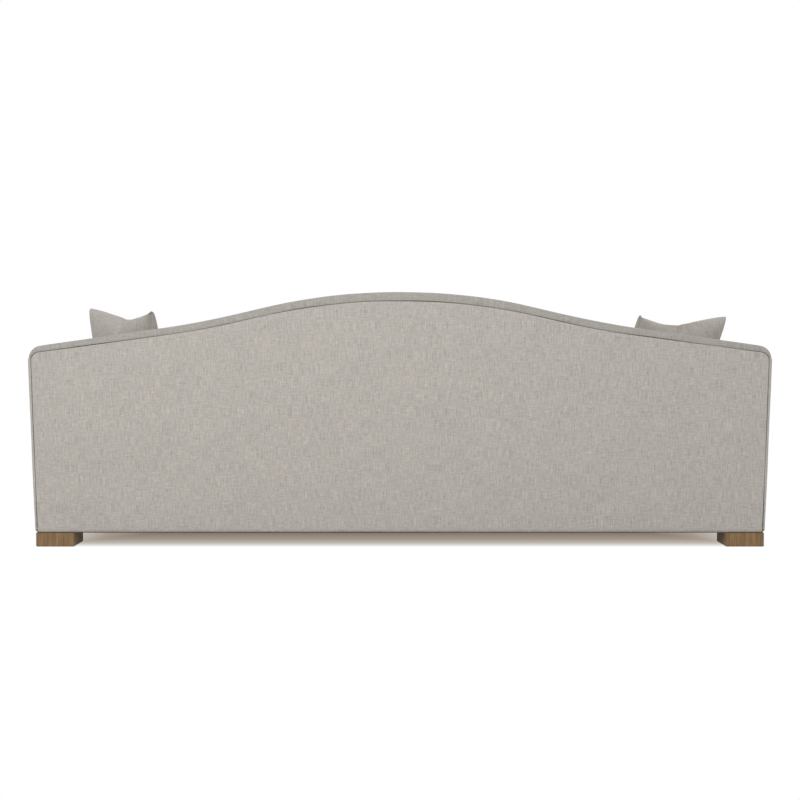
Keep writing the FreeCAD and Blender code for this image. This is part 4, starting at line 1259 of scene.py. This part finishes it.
def make_floor_material():
    """White to the eye, but a pale grey to the light it sends on; a painted shadow darkens it softly under the
    sofa.
    """
    tree, shader = new_material("studio_floor")
    output = next(n for n in tree.nodes if n.type == "OUTPUT_MATERIAL")
    feed(tree, shader, {"Base Color": (0.72, 0.70, 0.68, 1), "Roughness": 0.9})
    # Painted shadow: the colour seen darkens with the depth inside the sofa's footprint, to a warm grey
    place = tree.nodes.new("ShaderNodeTexCoord")
    parts = node(tree, "ShaderNodeSeparateXYZ", {"Vector": place.outputs["Object"]})
    middle_y = (cad_low.y + rear_y(0)) / 2
    half_y = rear_y(0) - middle_y
    beyond_x = maths(tree, "SUBTRACT", half_width(), maths(tree, "ABSOLUTE", parts.outputs[0]))
    off_y = maths(tree, "ABSOLUTE", maths(tree, "SUBTRACT", parts.outputs[1], middle_y))
    beyond_y = maths(tree, "SUBTRACT", half_y, off_y)
    under = maths(tree, "MINIMUM", beyond_x, beyond_y)
    reach = 0.4
    share = node(tree, "ShaderNodeMapRange", {"Value": under, "From Min": 0.0, "From Max": reach})
    painted_shadow_ramp = node(tree, "ShaderNodeValToRGB", {"Fac": share.outputs[0]})
    painted_shadow_stops = [(0.0, (1.0, 1.0, 1.0)), (0.1, (0.78, 0.75, 0.72)), (0.25, (0.53, 0.49, 0.45)),
             (0.5, (0.36, 0.31, 0.26)), (1.0, (0.2, 0.165, 0.14))]
    while len(painted_shadow_ramp.color_ramp.elements) < len(painted_shadow_stops):
        painted_shadow_ramp.color_ramp.elements.new(0.5)
    for element, (position, colour) in zip(painted_shadow_ramp.color_ramp.elements, painted_shadow_stops):
        element.position = position
        element.color = (*colour, 1)
    seen = node(tree, "ShaderNodeEmission", {"Color": painted_shadow_ramp.outputs[0], "Strength": 1.0})
    show_to_eye(tree, output, shader, seen)
    return bpy.data.materials["studio_floor"]


def add_stage():
    """White floor and sky, two soft lamps and the photo's camera."""
    studio = bpy.context.scene.sofa_studio
    bpy.ops.object.select_all(action="DESELECT")
    bpy.ops.mesh.primitive_circle_add(vertices=64, radius=14, fill_type="NGON", location=(0, 0, -0.0005))
    floor = bpy.context.object
    floor.name = "studio_floor"
    bpy.ops.object.transform_apply(location=True, rotation=True, scale=True)
    floor.data.materials.append(make_floor_material())

    world = bpy.data.worlds.new("studio")
    bpy.context.scene.world = world
    world.use_nodes = True
    tree = world.node_tree
    tree.nodes.clear()
    output = tree.nodes.new("ShaderNodeOutputWorld")
    light = node(tree, "ShaderNodeBackground", {"Color": (1, 1, 1, 1), "Strength": studio.sky})
    seen = node(tree, "ShaderNodeBackground", {"Color": (1, 1, 1, 1), "Strength": 1.0})
    show_to_eye(tree, output, light, seen)

    front_share = 0.7
    add_lamp("key_lamp", Vector((1.0, 4.2, 2.8)), Vector((0.2, 0.2, 0.5)), studio.key)
    add_lamp("front_lamp", Vector((-1.2, -3.6, 3.2)), Vector((0, -0.2, 0.5)), studio.key * front_share)

    bpy.ops.object.camera_add(location=(0, studio.camera_back, studio.camera_height))
    camera = bpy.context.object
    camera.name = "photo_camera"
    camera.rotation_euler = (math.radians(90 - studio.tilt), 0, math.radians(180))
    camera.data.lens = studio.lens
    camera.data.sensor_width = 36
    bpy.context.scene.camera = camera
    bpy.context.scene.view_settings.view_transform = "Standard"


def add_lamp(name, place, target, power):
    """A soft square lamp at a place, turned to a target."""
    bpy.ops.object.light_add(type="AREA", location=place)
    lamp = bpy.context.object
    lamp.name = name
    lamp.data.size = 2.6
    lamp.data.energy = power
    lamp.rotation_euler = (place - target).to_track_quat("Z", "Y").to_euler()


# Operators and the panel

class SOFA_OT_materials(bpy.types.Operator):
    """Make the cloth, oak and inner finishes."""
    bl_idname = "sofa.materials"
    bl_label = "Finishes"
    bl_options = {"REGISTER", "UNDO"}

    def execute(self, context):
        make_materials()
        return {"FINISHED"}


class SOFA_OT_frame(bpy.types.Operator):
    """Give the frame, straps and fixings their finishes."""
    bl_idname = "sofa.frame"
    bl_label = "Frame"
    bl_options = {"REGISTER", "UNDO"}

    def execute(self, context):
        paint_frame()
        return {"FINISHED"}


class SOFA_OT_outside_back(bpy.types.Operator):
    """Draw the outside back panel."""
    bl_idname = "sofa.outside_back"
    bl_label = "Outside back"
    bl_options = {"REGISTER", "UNDO"}

    def execute(self, context):
        add_outside_back()
        return {"FINISHED"}


class SOFA_OT_top_band(bpy.types.Operator):
    """Draw the band over the crown of the back."""
    bl_idname = "sofa.top_band"
    bl_label = "Top band"
    bl_options = {"REGISTER", "UNDO"}

    def execute(self, context):
        add_top_band()
        return {"FINISHED"}


class SOFA_OT_inside_back(bpy.types.Operator):
    """Draw the inside back panel."""
    bl_idname = "sofa.inside_back"
    bl_label = "Inside back"
    bl_options = {"REGISTER", "UNDO"}

    def execute(self, context):
        add_inside_back()
        return {"FINISHED"}


class SOFA_OT_arms(bpy.types.Operator):
    """Draw the panels and bands of both arms."""
    bl_idname = "sofa.arms"
    bl_label = "Arms"
    bl_options = {"REGISTER", "UNDO"}

    def execute(self, context):
        add_arms()
        return {"FINISHED"}


class SOFA_OT_border(bpy.types.Operator):
    """Draw the front border."""
    bl_idname = "sofa.border"
    bl_label = "Front border"
    bl_options = {"REGISTER", "UNDO"}

    def execute(self, context):
        add_border()
        return {"FINISHED"}


class SOFA_OT_deck(bpy.types.Operator):
    """Draw the cloth under the cushions."""
    bl_idname = "sofa.deck"
    bl_label = "Deck"
    bl_options = {"REGISTER", "UNDO"}

    def execute(self, context):
        add_deck()
        return {"FINISHED"}


class SOFA_OT_dust_cover(bpy.types.Operator):
    """Draw the cloth under the seat."""
    bl_idname = "sofa.dust_cover"
    bl_label = "Dust cover"
    bl_options = {"REGISTER", "UNDO"}

    def execute(self, context):
        add_dust_cover()
        return {"FINISHED"}


class SOFA_OT_seat_cushions(bpy.types.Operator):
    """Sew and fill the seat cushions."""
    bl_idname = "sofa.seat_cushions"
    bl_label = "Seat cushions"
    bl_options = {"REGISTER", "UNDO"}

    def execute(self, context):
        add_seat_cushions()
        return {"FINISHED"}


class SOFA_OT_pillows(bpy.types.Operator):
    """Sew, fill and place the throw pillows."""
    bl_idname = "sofa.pillows"
    bl_label = "Pillows"
    bl_options = {"REGISTER", "UNDO"}

    def execute(self, context):
        add_pillows()
        return {"FINISHED"}


class SOFA_OT_stage(bpy.types.Operator):
    """Set the floor, lamps and camera."""
    bl_idname = "sofa.stage"
    bl_label = "Studio"
    bl_options = {"REGISTER", "UNDO"}

    def execute(self, context):
        add_stage()
        return {"FINISHED"}


STEPS = [
    SOFA_OT_materials,
    SOFA_OT_frame,
    SOFA_OT_outside_back,
    SOFA_OT_top_band,
    SOFA_OT_inside_back,
    SOFA_OT_arms,
    SOFA_OT_border,
    SOFA_OT_deck,
    SOFA_OT_dust_cover,
    SOFA_OT_seat_cushions,
    SOFA_OT_pillows,
    SOFA_OT_stage,
]


class SOFA_PT_build(bpy.types.Panel):
    """Buttons for the building steps."""
    bl_label = "Camelback sofa"
    bl_idname = "SOFA_PT_build"
    bl_space_type = "VIEW_3D"
    bl_region_type = "UI"
    bl_category = "Sofa"

    def draw(self, context):
        for step in STEPS:
            self.layout.operator(step.bl_idname)


SETTINGS = {
    "sofa_shape": SofaShape,
    "sofa_cushions": SofaCushions,
    "sofa_finish": SofaFinish,
    "sofa_studio": SofaStudio,
}


def register():
    for name, settings in SETTINGS.items():
        bpy.utils.register_class(settings)
        setattr(bpy.types.Scene, name, PointerProperty(type=settings))
    for step in STEPS:
        bpy.utils.register_class(step)
    bpy.utils.register_class(SOFA_PT_build)


def unregister():
    bpy.utils.unregister_class(SOFA_PT_build)
    for step in reversed(STEPS):
        bpy.utils.unregister_class(step)
    for name, settings in SETTINGS.items():
        delattr(bpy.types.Scene, name)
        bpy.utils.unregister_class(settings)


def main():
    register()
    for step in STEPS:
        group, name = step.bl_idname.split(".")
        getattr(getattr(bpy.ops, group), name)()


if __name__ == "__main__":
    main()
